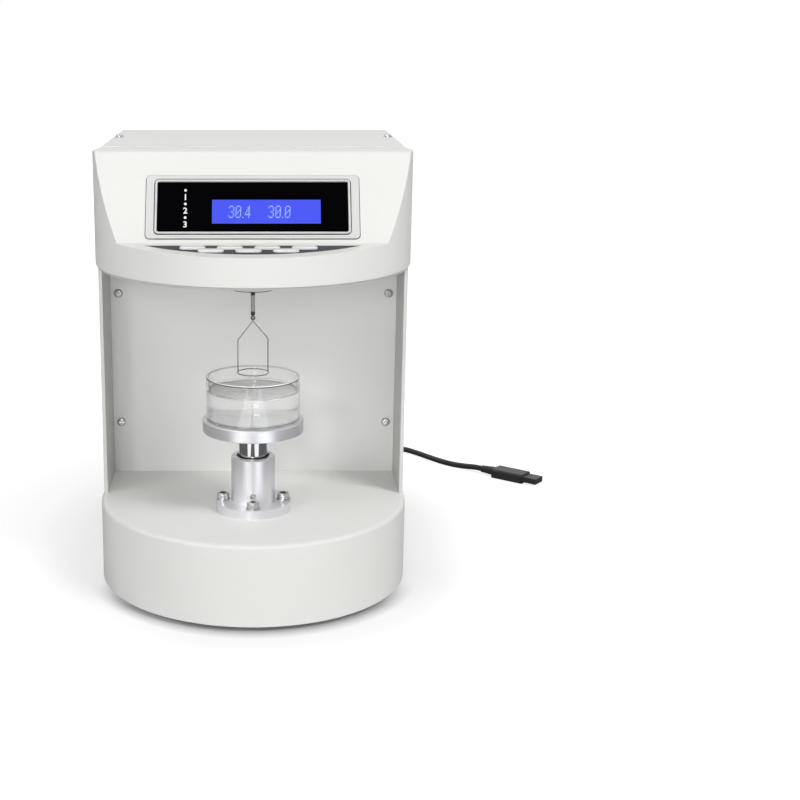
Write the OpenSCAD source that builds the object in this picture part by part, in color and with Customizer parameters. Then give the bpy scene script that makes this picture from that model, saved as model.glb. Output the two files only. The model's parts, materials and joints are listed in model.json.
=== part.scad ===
// Ring-method surface tensiometer: a D-shaped base, an open chamber with a lifting stage,
// and a head that holds the display, the keys and the balance. Millimetres, +Z up.
// The origin lies on the table below the middle of the instrument, and +Y is its back.

/* [Casing] */
// Width across the base
base_w = 200; // [196:1:220]
// Depth from the front of the base to the back panel
body_d = 291; // [286:1:320]
// Height of the rubber feet
foot_h = 3; // [2:0.5:6]
// Diameter of the rubber feet
foot_d = 16; // [10:1:24]
// Height of the base casing
base_h = 52; // [50:1:60]
// Clear height of the chamber, from the base to the head's floor
chamber_h = 154; // [152:1:180]
// Height of the head casing above its floor
head_h = 70.8; // [66:0.2:74]
// Wall of the base and head casings
cover_wall = 2.5; // [2:0.1:3]
// Radius of the rounded top edge of the base
edge_r = 2.5; // [1:0.1:3]
// How far the side walls and the top cover stand in from the base, on each side
column_step = 1.2; // [1:0.1:1.8]
// How far the head casing stands in from the base, on each side
head_step = 0.5; // [0.2:0.1:0.7]
// Thickness of the base plate
plate_t = 2; // [1.5:0.1:3]
// Thickness of the side walls
panel_t = 2.4; // [1.5:0.1:3]
// Thickness of the folded sheets
sheet_t = 1.5; // [1:0.1:2]
// Thickness of the head's floor plate
floor_t = 1.6; // [1:0.1:2]
// Depth of the open chamber behind the front edges of its side walls
chamber_d = 49; // [46:0.5:55]
// Width of the folds on the side walls
fold_w = 12; // [11:0.5:16]

/* [Head] */
// Depth of the key ledge, from the front of the head to the fold
ledge_d = 41; // [39:0.5:45]
// Height of the fold above the head's lower edge
fold_h = 19.7; // [18:0.1:21]
// Slope of the key ledge
ledge_tilt = 3.6; // [2:0.1:6]
// Slope of the display face
face_tilt = 58; // [55:0.5:62]
// Radius between the display face and the top
nose_r = 3; // [2.8:0.1:4]
// How much the head's top falls towards the back, in degrees
top_fall = 2.6; // [2:0.1:3]
// Depth of the head casing behind the front edges of the side walls
head_back = 40; // [36:0.5:45]
// How far the top cover lies below the head casing's top
cover_drop = 2.4; // [2:0.1:3]
// How far the floor plate stands in from the head casing
lip_in = 0.9; // [0.5:0.1:2]
// Diameter of the pan head screws
pan_d = 6; // [5:0.1:7]
// Height of the pan heads
pan_h = 1.9; // [1.2:0.1:2.4]
// Shank of the pan head screws
pan_shank_d = 3; // [2:0.1:4]

/* [Display] */
// Width of the bezel
bezel_w = 127.3; // [120:0.1:134]
// Height of the bezel along the face
bezel_h = 41.1; // [39:0.1:43]
// How far the bezel stands out of the face
bezel_t = 1.2; // [0.8:0.1:2]
// How far the bezel starts above the fold
bezel_up = 2.7; // [2:0.1:4]
// Width of the window
window_w = 113.7; // [106:0.1:116]
// Height of the window along the face
window_h = 32.3; // [29:0.1:33]
// Thickness of the window
window_t = 2; // [1.5:0.1:3]
// Width of the raised rim round the window
rim_w = 1.3; // [0.8:0.1:1.6]
// Width of the visible field of the character display
lcd_w = 65; // [60:0.5:72]
// Height of the visible field of the character display
lcd_h = 15.8; // [13:0.1:17]
// How far the character display sits to the right of the middle
lcd_right = 8.2; // [5:0.1:10]
// Diameter of the indicator lamps
led_d = 2; // [1.5:0.1:3]
// How far the lamps sit to the left of the middle
led_left = 40.2; // [36:0.1:42]
// Step from one lamp to the next
led_pitch = 8.9; // [7:0.1:10]

/* [Keypad] */
// Half the length of the lens-shaped key bed
bed_half = 65; // [60:0.5:68]
// Depth of the key bed at its middle
bed_d = 25.5; // [25:0.1:27]
// How far the key bed starts in front of the fold
bed_front = 5; // [4:0.1:5.5]
// How far the key bed lies below the ledge
bed_sink = 0.4; // [0.2:0.1:0.8]
// Length of a key
key_l = 15.4; // [13:0.1:17]
// Width of a key
key_w = 6.3; // [5.5:0.1:6.6]
// How far the keys stand out of the ledge
key_up = 1.5; // [1:0.1:2.5]
// Travel of a key
key_travel = 0.8; // [0.4:0.1:1]
// Step from one key to the next
key_pitch = 21.8; // [20:0.1:23]
// Distance between the two rows of keys
row_pitch = 7.9; // [7.6:0.1:8.2]
// How far the keys sit to the left of the middle
key_left = 2.3; // [0:0.1:3]

/* [Stage] */
// How far the stage axis lies in front of the side walls' front edges
stage_fwd = 29.5; // [27:0.5:32]
// Diameter of the flange
flange_d = 48.5; // [46:0.5:54]
// Thickness of the flange
flange_t = 6; // [4:0.5:8]
// Circle of the flange screws
flange_pcd = 38.5; // [38:0.1:40]
// Outer diameter of the sleeve
sleeve_d = 28; // [27:0.5:29]
// Bore of the sleeve
sleeve_bore = 21; // [20.5:0.1:22]
// Height of the sleeve above the base
sleeve_h = 35.6; // [34:0.1:40]
// Diameter of the lift rod
rod_d = 18; // [17:0.1:18.5]
// Bore of the lift rod
rod_bore = 12; // [11:0.1:13]
// Length of the lift rod that shows below the platform
rod_show = 16.5; // [15:0.5:22]
// Length of the lift rod below the platform
rod_l = 65.1; // [62:0.1:68]
// Diameter of the sample platform
platform_d = 64; // [62:0.5:72]
// Thickness of the sample platform
platform_t = 8; // [6:0.5:10]
// Radial clearance of a running fit
run_gap = 0.05; // [0.02:0.01:0.1]
// Diameter of the lead screw
screw_d = 8; // [6:0.5:8]
// Outer diameter of the screw bearing
bearing_d = 22; // [20:0.5:24]
// Radius of the belt's inner side
belt_r = 6.4; // [6:0.1:7]
// Distance from the lead screw to the motor shaft
belt_span = 60; // [58:1:66]
// Side of the stepper motor
motor_w = 42.3; // [40:0.1:43]
// Height of the stepper motor
motor_h = 20; // [18:0.5:22]

/* [Dish and ring] */
// Diameter of the sample dish
dish_d = 59; // [54:0.5:61]
// Height of the sample dish
dish_h = 27.4; // [24:0.1:28]
// Wall of the sample dish
dish_wall = 1.6; // [1.2:0.1:2.4]
// Mean diameter of the platinum ring
ring_d = 19.1; // [17:0.1:22]
// Thickness of the ring's wire
wire_d = 0.8; // [0.6:0.1:1]
// Height of the straight legs above the ring
leg_h = 21.4; // [19:0.1:22]
// Turn of the ring about its hanging line
ring_turn = 22; // [0:1:45]
// Depth of the hook's lowest wire below the head's floor
hook_drop = 30.7; // [29:0.1:32]
// Diameter of the hanger rod
hanger_d = 2.6; // [2:0.1:3]
// Outer diameter of the collar under the head
collar_d = 28; // [24:0.5:32]
// Bore of the collar
collar_bore = 12; // [11:0.5:14]
// Height of the collar
collar_h = 11.2; // [6:0.1:12]
// Height of the balance beam's pivot above the head's floor
pivot_h = 30; // [29:0.5:31]
// Length of the beam from its pivot to the hanger
beam_arm = 49.5; // [48:0.5:52]

/* [Back] */
// Width of the mains inlet's flange
inlet_w = 59; // [56:0.5:64]
// Height of the mains inlet's flange
inlet_h = 30; // [28:0.5:32]
// Distance from the side of the base to the middle of the mains inlet
inlet_in = 48; // [46:0.5:52]
// Distance from the side of the base to the data socket
socket_in = 40; // [34:0.5:44]
// Height of both sockets above the table
socket_z = 28; // [26:0.5:30]
// Diameter of the data cord
cord_d = 4.5; // [4.2:0.1:4.6]
// Turns in the coil of the data cord
coil_turns = 7; // [5:1:7]
// Radius of the coil's outermost turn
coil_r = 34; // [33:0.5:35]
// Distance between turns that lie beside each other
coil_pitch = 5.1; // [5:0.05:5.3]
// Distance between the coil's two layers
coil_layer = 5; // [5:0.1:5.5]

/* [Hidden] */
$fn = 96;

// Colours as the object shows them
white = "#ecebe6";
inner_white = "#dcdbd6";
steel = "#b9bbbd";
turned = "#c9cacd";
chrome = "#d4d6d8";
black = "#17181a";
rubber = "#2a2a2b";
board_green = "#2c6b44";
brass = "#b8964a";
copper = "#b06a3c";
key_silver = "#d9dadb";
window_black = "#08090b";
screen_blue = "#4358f0";
glass = [0.86, 0.9, 0.92, 0.45];

// Plan: the front of the base is half a circle about the middle of the side walls' front edges
base_r = base_w / 2;
back_y = body_d - base_r;
inlet_t = 2.5;
inlet_l = 24;
inlet_x = base_r - inlet_in;
socket_x = base_r - socket_in;
rocker_r = 10.3;
rocker_tilt = 10;
rocker_sink = 2.8;
rocker_w = 12.4;
rocker_bar_d = 3;
rocker_bar_l = rocker_w + 2;
rocker_y = back_y + inlet_t - rocker_sink;
rear_reach = rocker_y + rocker_r * sin(2 * rocker_tilt);
arc_y = (base_r - rear_reach) / 2;
head_r = base_r - head_step;
column_w = base_r - column_step;
chamber_w = column_w - panel_t;
fit_gap = 0.2;
cut = 1;
wall_screw_up = 35.5;
wall_screw_down = 28.6;
pillar_d = 5;

// Heights
base_top = foot_h + base_h;
plate_z = foot_h + plate_t;
floor_z = base_top + chamber_h;
head_z = floor_z + floor_t;
head_top = head_z + head_h;
cover_top = head_top - cover_drop;

// Head outline in the plane through the middle, as [depth, height]
fold_at = [-head_r + ledge_d, head_z + fold_h];
face_run = (head_top - fold_at[1]) / tan(face_tilt);
top_at = [fold_at[0] + face_run, head_top];
ledge_n = [-sin(ledge_tilt), cos(ledge_tilt)];
face_n = [-sin(face_tilt), cos(face_tilt)];
top_n = [sin(top_fall), cos(top_fall)];

// Display, measured up the face from the fold
window_up = bezel_up + (bezel_h - window_h) / 2;
window_gap = 0.25;
window_proud = 0.4;
window_rear = window_proud - window_t;
bezel_mid = bezel_up + bezel_h / 2;
lcd_up = bezel_mid - 2.9;
led_up = bezel_mid + 2;
lcd_case_t = 5;
lcd_rear = window_rear - lcd_case_t;
display_board_t = 1.6;

// Keys, measured on the ledge from the fold
bed_r = (bed_half * bed_half + bed_d * bed_d) / (2 * bed_d);
bed_skirt = 3;
bed_rear = cover_wall + 1.5;
key_gap = 0.3;
row_back = 9.2;
flange_grow = 1.2;
flange_drop = 1;
stem_end = bed_rear + key_gap + flange_drop + 1.2;
switch_top = stem_end + key_travel + 0.1;
key_board_at = switch_top + 3.6;
key_board_t = 1.6;
key_spots = [for (i = [0:3]) [(i - 1.5) * key_pitch, 0], for (i = [0:2]) [(i - 1) * key_pitch, -row_pitch]];

// Stage
stage_y = -stage_fwd;
sleeve_top = base_top + sleeve_h;
platform_z = sleeve_top + rod_show;
dish_z = platform_z + platform_t;
rod_z = platform_z - rod_l;
rod_roof = 4;
spigot_d = 10;
spigot_h = 5;
bush_l = 18;
bush_sink = 3;
bush_z = sleeve_top - bush_sink - bush_l;
bolt_d = 4;
bolt_head_d = 7.6;
bolt_head_h = 4;
washer_d = 9;
washer_t = 0.8;
bolt_reach = 8;
key_z = base_top + flange_t + 6;
groove_w = 3.2;
groove_depth = 2;
groove_top = key_z + 18;
nut_l = 14;
bearing_h = 5;
bearing_flange = 4;
screw_z = plate_z + 1;
screw_top = platform_z - 19;
pulley_z = plate_z + bearing_h + 0.3;
pulley_rim = 1.2;
belt_h = 6;
belt_t = 1.4;
belt_play = 0.5;
pulley_r = belt_r - 0.3;
pulley_rim_r = belt_r + belt_t + 0.3;
tooth_h = belt_h + 2 * belt_play;
hub_h = 3;
belt_z = pulley_z + pulley_rim + belt_play;
motor_y = stage_y + belt_span;
bracket_t = 3;
bracket_z = pulley_z + 2 * pulley_rim + tooth_h + 3.5;
motor_z = bracket_z + bracket_t;
shaft_d = 5;
boss_d = 22;
bracket_w = 56;
bracket_d = 52;
boards_y = motor_y + bracket_d / 2 + 5.5;
board_t = 1.6;
board_post_h = 6;

// Ring and hanger
hook_wire = 1;
hook_r = 1.6;
hook_z = floor_z - hook_drop;
hook_mid = hook_z + hook_r;
eye_r = 1.3;
eye_wire = 0.7;
eye_z = hook_z + hook_wire / 2 + eye_wire / 2 + 0.1 - eye_r;
ring_drop = 34.2;
ring_z = hook_z + hook_wire / 2 - ring_drop;
shoulder_z = ring_z + leg_h;
pivot_z = head_z + pivot_h;
pivot_y = stage_y + beam_arm;
pin_d = 2;
fork_in = 1.8;
beam_w = 8;
beam_t = 6;
shaft3_d = 3;
upright_t = 4;
upright_in = 13;
frame_t = 4;
coil_arm = 50;
voice_r = 9;
voice_wall = 1.8;
magnet_r = 17;
magnet_h = 17;
pole_r = 6.6;
well_r = 11.6;
well_floor = 4;
weight_d = 10;
weight_l = 6;

// Data cord: the far ends of both plugs and the points that the free stretches follow
mould_l = 27;
relief_l = 13;
plug_gap = 0.6;
shell_l = 8.6;
rear_exit = [-socket_x, back_y + plug_gap + mould_l + relief_l, socket_z];
coil_mid = [rear_exit[0] + 70, rear_exit[1] + 5.4];
coil_z = cord_d / 2;
front_turn = -38;
front_at = [coil_mid[0] + 176, coil_mid[1] - 21, 4];
cord_rear_path = [
    rear_exit,
    rear_exit + [0, 5, 0],
    rear_exit + [0, 12.4, -2],
    rear_exit + [2, 21.4, -7],
    rear_exit + [6, 29.4, -14],
    rear_exit + [13, 35.4, -20],
    rear_exit + [22, 38.4, -24],
    [coil_mid[0] - 38, coil_mid[1] + coil_r, coil_z],
    [coil_mid[0] - 26, coil_mid[1] + coil_r, coil_z],
    [coil_mid[0] - 14, coil_mid[1] + coil_r, coil_z],
    [coil_mid[0] - cord_d, coil_mid[1] + coil_r, coil_z]
];

// The front stretch, as steps from the middle of the coil, with heights above the table
front_run = [
    [10, 34, coil_z + coil_layer], [20, 34, 6], [32, 34, 4], [44, 35, 2.5], [56, 37, coil_z],
    [68, 39, coil_z], [80, 42, coil_z], [92, 44, coil_z], [103, 45, coil_z], [112, 43, coil_z],
    [120, 38, coil_z], [128, 29, coil_z], [136, 18, coil_z], [145, 6, coil_z], [155, -4, coil_z],
    [164, -11.5, 3]
];
cord_front_path = concat(
    [[coil_mid[0] + cord_d, coil_mid[1] + coil_r, coil_z + coil_layer]],
    [for (p = front_run) [coil_mid[0] + p[0], coil_mid[1] + p[1], p[2]]],
    [front_at - 5 * [cos(front_turn), sin(front_turn), 0], front_at]
);
coil_rings = 24;
coil_points = coil_path();
echo(cord_length_mm = length_of(cord_rear_path) + length_of(coil_points) + length_of(cord_front_path));
echo(coil_gap_mm = coil_gap(coil_points));

function unit(v) = v / norm(v);

function inset(p, a, b, w) = p - w * (a + b) / (1 + a * b);

function length_of(p) = norm_sum([for (i = [1:len(p) - 1]) norm(p[i] - p[i - 1])]);

function norm_sum(v, i = 0) = i < len(v) ? v[i] + norm_sum(v, i + 1) : 0;

function ease(t) = t < 0 ? 0 : t > 1 ? 1 : t * t * (3 - 2 * t);

// Two layers: the spiral runs in on the table, climbs while it reverses, and runs out on top
function coil_point(a) = let (
    half = coil_turns * 180,
    r = coil_r - coil_pitch * (half - abs(a - half)) / 360
) [
    coil_mid[0] + r * sin(a),
    coil_mid[1] + r * cos(a),
    coil_z + coil_layer * ease((a - half + 90) / 180)
];

function coil_path() = let (n = coil_turns * coil_rings) concat(
    [coil_point(0) - [cord_d, 0, 0]],
    [for (i = [0:n]) coil_point(i * 360 / coil_rings)],
    [coil_point(coil_turns * 360) + [cord_d, 0, 0]]
);

// Least distance between the surfaces of turns that lie at least half a turn apart
function coil_gap(p) = min([
    for (i = [0:len(p) - 1])
        for (j = [i + coil_rings / 2:1:len(p) - 1])
            norm(p[i] - p[j])
]) - cord_d;

function tangent(p, i) = let (
    a = p[max(i - 1, 0)],
    b = p[min(i + 1, len(p) - 1)]
) (b - a) / norm(b - a);

function ring_at(p, i, r, sides) = let (
    t = i == 1 ? tangent(p, 0) : i == len(p) - 2 ? tangent(p, i + 1) : tangent(p, i),
    s = cross(t, [0, 0, 1]) / norm(cross(t, [0, 0, 1])),
    u = cross(s, t)
) [for (k = [0:sides - 1]) p[i] + r * (cos(k * 360 / sides) * s + sin(k * 360 / sides) * u)];

module tube(path, d, sides) {
    n = len(path);
    pts = [for (i = [0:n - 1]) each ring_at(path, i, d / 2, sides)];
    ends = [
        [for (k = [0:sides - 1]) k],
        [for (k = [0:sides - 1]) n * sides - 1 - k]
    ];
    walls = [
        for (i = [0:n - 2])
            for (k = [0:sides - 1])
                let (a = i * sides + k, b = i * sides + (k + 1) % sides)
                    each [[a, a + sides, b], [b, a + sides, b + sides]]
    ];
    polyhedron(points = pts, faces = concat(ends, walls));
}

module placed() {
    translate([0, arc_y, 0]) children();
}

module at_stage(z) {
    translate([0, stage_y, z]) children();
}

// Local y runs up the display face from the fold, and local z stands out of it
module on_face() {
    translate([0, fold_at[0], fold_at[1]]) rotate([face_tilt, 0, 0]) children();
}

// Local y runs back along the key ledge from the fold, and local z stands out of it
module on_ledge() {
    translate([0, fold_at[0], fold_at[1]]) rotate([ledge_tilt, 0, 0]) children();
}

module d_plan(r, back) {
    circle(r);
    translate([-r, 0]) square([2 * r, back]);
}

module rounded(w, h, r) {
    translate([-w / 2 + r, -h / 2]) square([w - 2 * r, h]);
    translate([-w / 2, -h / 2 + r]) square([w, h - 2 * r]);
    for (x = [-1, 1]) {
        for (y = [-1, 1]) translate([x * (w / 2 - r), y * (h / 2 - r)]) circle(r);
    }
}

module block(w, y0, y1, z0, z1) {
    translate([-w / 2, y0, z0]) cube([w, y1 - y0, z1 - z0]);
}

module ring_solid(r, wire, sides) {
    rotate_extrude() translate([r, 0]) circle(d = wire, $fn = sides);
}

module wire(a, b, d) {
    v = b - a;
    translate(a)
        rotate([0, acos(v[2] / norm(v)), atan2(v[1], v[0])])
            cylinder(d = d, h = norm(v), $fn = 8);
}

module pan_screw(reach) {
    socket_d = 1.6;
    difference() {
        union() {
            cylinder(d = pan_d, h = pan_h * 0.55);
            translate([0, 0, pan_h * 0.55]) cylinder(d1 = pan_d, d2 = pan_d * 0.6, h = pan_h * 0.45);
        }
        translate([0, 0, pan_h * 0.5]) cylinder(d = socket_d, h = pan_h);
    }
    translate([0, 0, -reach]) cylinder(d = pan_shank_d, h = reach);
}

// Casing

module base_cover() {
    straight = back_y - edge_r;
    color(white) placed() difference() {
        translate([0, 0, foot_h]) union() {
            linear_extrude(base_h - edge_r) d_plan(base_r, back_y);
            linear_extrude(base_h) d_plan(base_r - edge_r, straight);
            translate([0, 0, base_h - edge_r]) rotate([0, 0, 180]) rotate_extrude(angle = 180)
                translate([base_r - edge_r, 0]) circle(edge_r);
            for (x = [-1, 1]) {
                translate([x * (base_r - edge_r), 0, base_h - edge_r]) rotate([-90, 0, 0])
                    cylinder(r = edge_r, h = straight);
                translate([x * (base_r - edge_r), straight, base_h - edge_r]) sphere(edge_r);
            }
            translate([edge_r - base_r, straight, base_h - edge_r]) rotate([0, 90, 0])
                cylinder(r = edge_r, h = base_w - 2 * edge_r);
        }
        translate([0, 0, foot_h - cut]) linear_extrude(base_h - cover_wall + cut)
            d_plan(base_r - cover_wall, back_y - cover_wall);
        at_stage(base_top - cover_wall - cut) {
            cylinder(d = sleeve_bore + 3, h = cover_wall + 2 * cut);
            stage_ring() cylinder(d = bolt_d + 0.4, h = cover_wall + 2 * cut);
        }
        translate([inlet_x, back_y - cover_wall / 2, socket_z])
            cube([inlet_body_w() + 0.4, 3 * cover_wall, inlet_body_h() + 0.4], center = true);
        translate([-socket_x, back_y - cover_wall / 2, socket_z])
            cube([socket_w() + 0.4, 3 * cover_wall, socket_h() + 0.4], center = true);
    }
}

module base_plate() {
    inside = cover_wall + fit_gap;
    color(steel) placed() translate([0, 0, foot_h]) linear_extrude(plate_t)
        d_plan(base_r - inside, back_y - inside);
}

module rubber_feet() {
    front_x = base_r * 0.7;
    rear_x = base_r * 0.8;
    spots = [[-front_x, -45], [front_x, -45], [-rear_x, back_y - 26], [rear_x, back_y - 26]];
    color(rubber) placed() for (p = spots) translate([p[0], p[1], 0]) difference() {
        cylinder(d1 = foot_d - 1.6, d2 = foot_d, h = foot_h);
        translate([0, 0, -cut]) cylinder(d = foot_d * 0.4, h = cut + foot_h * 0.5);
    }
}

module side_panel(side) {
    z0 = base_top;
    h = chamber_h;
    inset_z = 2;
    color(white) placed() difference() {
        union() {
            translate([side > 0 ? chamber_w : -column_w, 0, z0]) cube([panel_t, back_y - sheet_t, h]);
            for (y = [chamber_d + sheet_t, back_y - 2 * sheet_t])
                translate([side > 0 ? chamber_w - fold_w : -chamber_w, y, z0 + inset_z])
                    cube([fold_w, sheet_t, h - 2 * inset_z]);
        }
        for (z = wall_screw_heights())
            translate([side * wall_screw_x(), chamber_d, z]) rotate([-90, 0, 0])
                cylinder(d = pan_shank_d, h = 10, $fn = 32);
        for (z = rear_screw_heights())
            translate([side * wall_screw_x(), back_y - 10, z]) rotate([-90, 0, 0])
                cylinder(d = pan_shank_d, h = 10, $fn = 32);
    }
}

module side_panel_left() {
    side_panel(-1);
}

module side_panel_right() {
    side_panel(1);
}

function wall_screw_x() = chamber_w - 5.4;

function wall_screw_heights() = [base_top + wall_screw_up, floor_z - wall_screw_down];

function rear_screw_heights() = [base_top + 20, floor_z - 14];

module chamber_wall() {
    color(inner_white) placed() difference() {
        block(2 * chamber_w, chamber_d, chamber_d + sheet_t, base_top, floor_z);
        for (x = [-1, 1]) {
            for (z = wall_screw_heights())
                translate([x * wall_screw_x(), chamber_d - cut, z]) rotate([-90, 0, 0])
                    cylinder(d = pan_shank_d, h = sheet_t + 2 * cut, $fn = 32);
        }
    }
}

module wall_screws() {
    color(steel) placed() for (x = [-1, 1]) {
        for (z = wall_screw_heights())
            translate([x * wall_screw_x(), chamber_d, z]) rotate([90, 0, 0]) pan_screw(6);
    }
}

// Side outline of the head casing, drawn inward by w
module head_outline(w) {
    front = head_r + 2;
    front_z = fold_at[1] - (front + fold_at[0]) * tan(ledge_tilt) - w / cos(ledge_tilt);
    round_r = nose_r - w;
    round_at = inset(top_at, face_n, top_n, nose_r);
    corner = inset(top_at, face_n, top_n, w);
    grow = w > 0 ? cut : 0;
    back = head_back + grow;
    back_z = head_top - (back - top_at[0]) * tan(top_fall) - w / cos(top_fall);
    difference() {
        polygon([
            [-front, head_z - grow],
            [-front, front_z],
            inset(fold_at, ledge_n, face_n, w),
            corner,
            [back, back_z],
            [back, head_z - grow]
        ]);
        difference() {
            polygon([
                round_at + round_r * face_n,
                corner + (corner - round_at) * 0.2,
                round_at + round_r * top_n,
                (round_at + corner) / 2
            ]);
            translate(round_at) circle(round_r);
        }
    }
}

module head_solid(w) {
    grow = w > 0 ? cut : 0;
    side = 1.1 * base_r;
    intersection() {
        translate([0, 0, head_z - 2 * grow]) linear_extrude(head_h + 4 * grow)
            d_plan(head_r - w, head_back + 2 * grow);
        translate([-side, 0, 0]) rotate([90, 0, 90]) linear_extrude(2 * side) head_outline(w);
    }
}

module head_shell() {
    color(white) placed() difference() {
        head_solid(0);
        head_solid(cover_wall);
        on_face() translate([0, bezel_mid, -10]) linear_extrude(20)
            square([window_w + 2 * window_gap, window_h + 2 * window_gap], center = true);
        on_ledge() translate([0, 0, -10]) linear_extrude(20) lens(0.2);
    }
}

module head_floor() {
    color(inner_white) placed() {
        difference() {
            translate([0, 0, floor_z]) linear_extrude(floor_t)
                d_plan(head_r - lip_in, back_y - sheet_t);
            at_stage(floor_z - cut) cylinder(d = collar_bore, h = floor_t + 2 * cut);
        }
        for (x = [-1, 1])
            translate([x * top_screw_x(), top_screw_y(), head_z]) difference() {
                cylinder(d = pillar_d, h = cover_top - sheet_t - head_z);
                translate([0, 0, cover_top - sheet_t - head_z - 8]) cylinder(d = pan_shank_d, h = 9);
            }
    }
}

function top_screw_x() = column_w - sheet_t - pillar_d / 2 - 0.4;

function top_screw_y() = head_back + 79;

module top_cover() {
    color(white) placed() difference() {
        block(2 * column_w, head_back, back_y - sheet_t, head_z, cover_top);
        block(2 * (column_w - sheet_t), head_back - cut, back_y, head_z - cut, cover_top - sheet_t);
        for (x = [-1, 1])
            translate([x * top_screw_x(), top_screw_y(), cover_top - 2 * sheet_t])
                cylinder(d = pan_shank_d, h = 3 * sheet_t);
    }
}

module rear_panel() {
    vent_w = 60;
    vent_h = 3;
    vent_pitch = 8;
    vent_z = floor_z - 60;
    color(white) placed() difference() {
        block(2 * column_w, back_y - sheet_t, back_y, base_top, cover_top);
        for (i = [0:5])
            translate([-vent_w / 2, back_y - 2 * sheet_t, vent_z + i * vent_pitch])
                cube([vent_w, 3 * sheet_t, vent_h]);
        for (x = [-1, 1]) {
            for (z = rear_screw_heights())
                translate([x * wall_screw_x(), back_y - 2 * sheet_t, z]) rotate([-90, 0, 0])
                    cylinder(d = pan_shank_d, h = 3 * sheet_t, $fn = 32);
        }
    }
}

module cover_screws() {
    color(steel) placed() for (x = [-1, 1]) {
        translate([x * top_screw_x(), top_screw_y(), cover_top]) pan_screw(7);
        for (z = rear_screw_heights())
            translate([x * wall_screw_x(), back_y, z]) rotate([-90, 0, 0]) pan_screw(6);
    }
}

// Display

module display_bezel() {
    flat_t = bezel_t - 0.4;
    color(white) placed() on_face() translate([0, bezel_mid, 0]) difference() {
        union() {
            linear_extrude(flat_t) rounded(bezel_w, bezel_h, 2.5);
            linear_extrude(bezel_t)
                rounded(window_w + 2 * window_gap + 2 * rim_w, window_h + 2 * window_gap + 2 * rim_w, 2);
        }
        translate([0, 0, -cut]) linear_extrude(bezel_t + 2 * cut)
            square([window_w + 2 * window_gap, window_h + 2 * window_gap], center = true);
    }
}

module led_places() {
    for (i = [-1:1]) translate([-led_left, led_up + i * led_pitch, 0]) children();
}

module display_window() {
    color(window_black) placed() on_face() difference() {
        translate([-window_w / 2, window_up, window_rear]) cube([window_w, window_h, window_t]);
        translate([lcd_right - lcd_w / 2, lcd_up - lcd_h / 2, window_rear - cut])
            cube([lcd_w, lcd_h, window_t + 2 * cut]);
        led_places() translate([0, 0, window_rear - cut])
            cylinder(d = led_d + 0.1, h = window_t + 2 * cut, $fn = 32);
    }
}

module lcd_module() {
    case_w = lcd_w + 15;
    case_h = lcd_h + 10;
    sink = 0.3;
    color(screen_blue) placed() on_face() translate([lcd_right, lcd_up, 0]) {
        translate([-case_w / 2, -case_h / 2, lcd_rear]) cube([case_w, case_h, lcd_case_t]);
        translate([0.1 - lcd_w / 2, 0.1 - lcd_h / 2, window_rear - cut])
            cube([lcd_w - 0.2, lcd_h - 0.2, window_t + cut - sink]);
    }
}

module display_board() {
    color(board_green) placed() on_face()
        translate([0, bezel_mid, lcd_rear - display_board_t]) linear_extrude(display_board_t)
            square([window_w + 4, window_h], center = true);
}

module indicator_leds() {
    color("white") placed() on_face() led_places() {
        translate([0, 0, lcd_rear]) cylinder(d = led_d, h = window_proud - lcd_rear, $fn = 32);
        translate([0, 0, window_proud]) intersection() {
            sphere(d = led_d, $fn = 32);
            translate([0, 0, led_d / 2]) cube(led_d, center = true);
        }
    }
}

// Keypad

// Outline of the key bed: a straight back edge and an arc in front
module lens(grow) {
    reach = bed_half + 2 * grow + 1;
    intersection() {
        translate([0, bed_r - bed_front - bed_d]) circle(bed_r + grow, $fn = 180);
        translate([-reach, -bed_front - bed_d - 2 * grow])
            square([2 * reach, bed_d + 3 * grow]);
    }
}

module key_places() {
    for (p = key_spots) translate([p[0] - key_left, p[1] - bed_front - row_back, 0]) children();
}

module keypad_bed() {
    color("#4a4c4f") placed() on_ledge() difference() {
        union() {
            translate([0, 0, -bed_rear]) linear_extrude(bed_rear - bed_sink) lens(0);
            translate([0, 0, -bed_rear]) linear_extrude(bed_rear - cover_wall) lens(bed_skirt);
        }
        key_places() translate([0, 0, -2 * bed_rear]) linear_extrude(3 * bed_rear)
            rounded(key_l + 2 * key_gap, key_w + 2 * key_gap, key_w / 2 - 0.3);
    }
}

module key(i) {
    p = key_spots[i];
    flange_top = bed_rear + key_gap;
    color(key_silver) placed() on_ledge()
        translate([p[0] - key_left, p[1] - bed_front - row_back, 0]) {
            translate([0, 0, -stem_end]) linear_extrude(stem_end + key_up)
                rounded(key_l, key_w, key_w / 2 - 0.5);
            translate([0, 0, -flange_top - flange_drop]) linear_extrude(flange_drop)
                rounded(key_l + flange_grow, key_w + flange_grow, key_w / 2);
        }
}

module key_1() {
    key(0);
}

module key_2() {
    key(1);
}

module key_3() {
    key(2);
}

module key_4() {
    key(3);
}

module key_5() {
    key(4);
}

module key_6() {
    key(5);
}

module key_7() {
    key(6);
}

module key_board() {
    board_w = 104;
    post_x = 47;
    post_y = -11;
    switch_w = 6;
    plunger_d = 3;
    color(board_green) placed() on_ledge() {
        translate([0, 0, -key_board_at - key_board_t]) linear_extrude(key_board_t) intersection() {
            lens(0);
            translate([-board_w / 2, -2 * bed_d]) square([board_w, 2 * bed_d]);
        }
        key_places() {
            translate([-switch_w / 2, -switch_w / 2, -key_board_at]) cube([switch_w, switch_w, 2.8]);
            translate([0, 0, -key_board_at]) cylinder(d = plunger_d, h = key_board_at - switch_top);
        }
        for (x = [-post_x, post_x])
            translate([x, post_y, -key_board_at]) cylinder(d = 5, h = key_board_at - bed_rear);
    }
}

// Balance

module hook_collar() {
    color(white) placed() at_stage(floor_z - collar_h) difference() {
        cylinder(d = collar_d, h = collar_h);
        translate([0, 0, -cut]) cylinder(d = collar_bore, h = collar_h + 2 * cut);
    }
}

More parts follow.
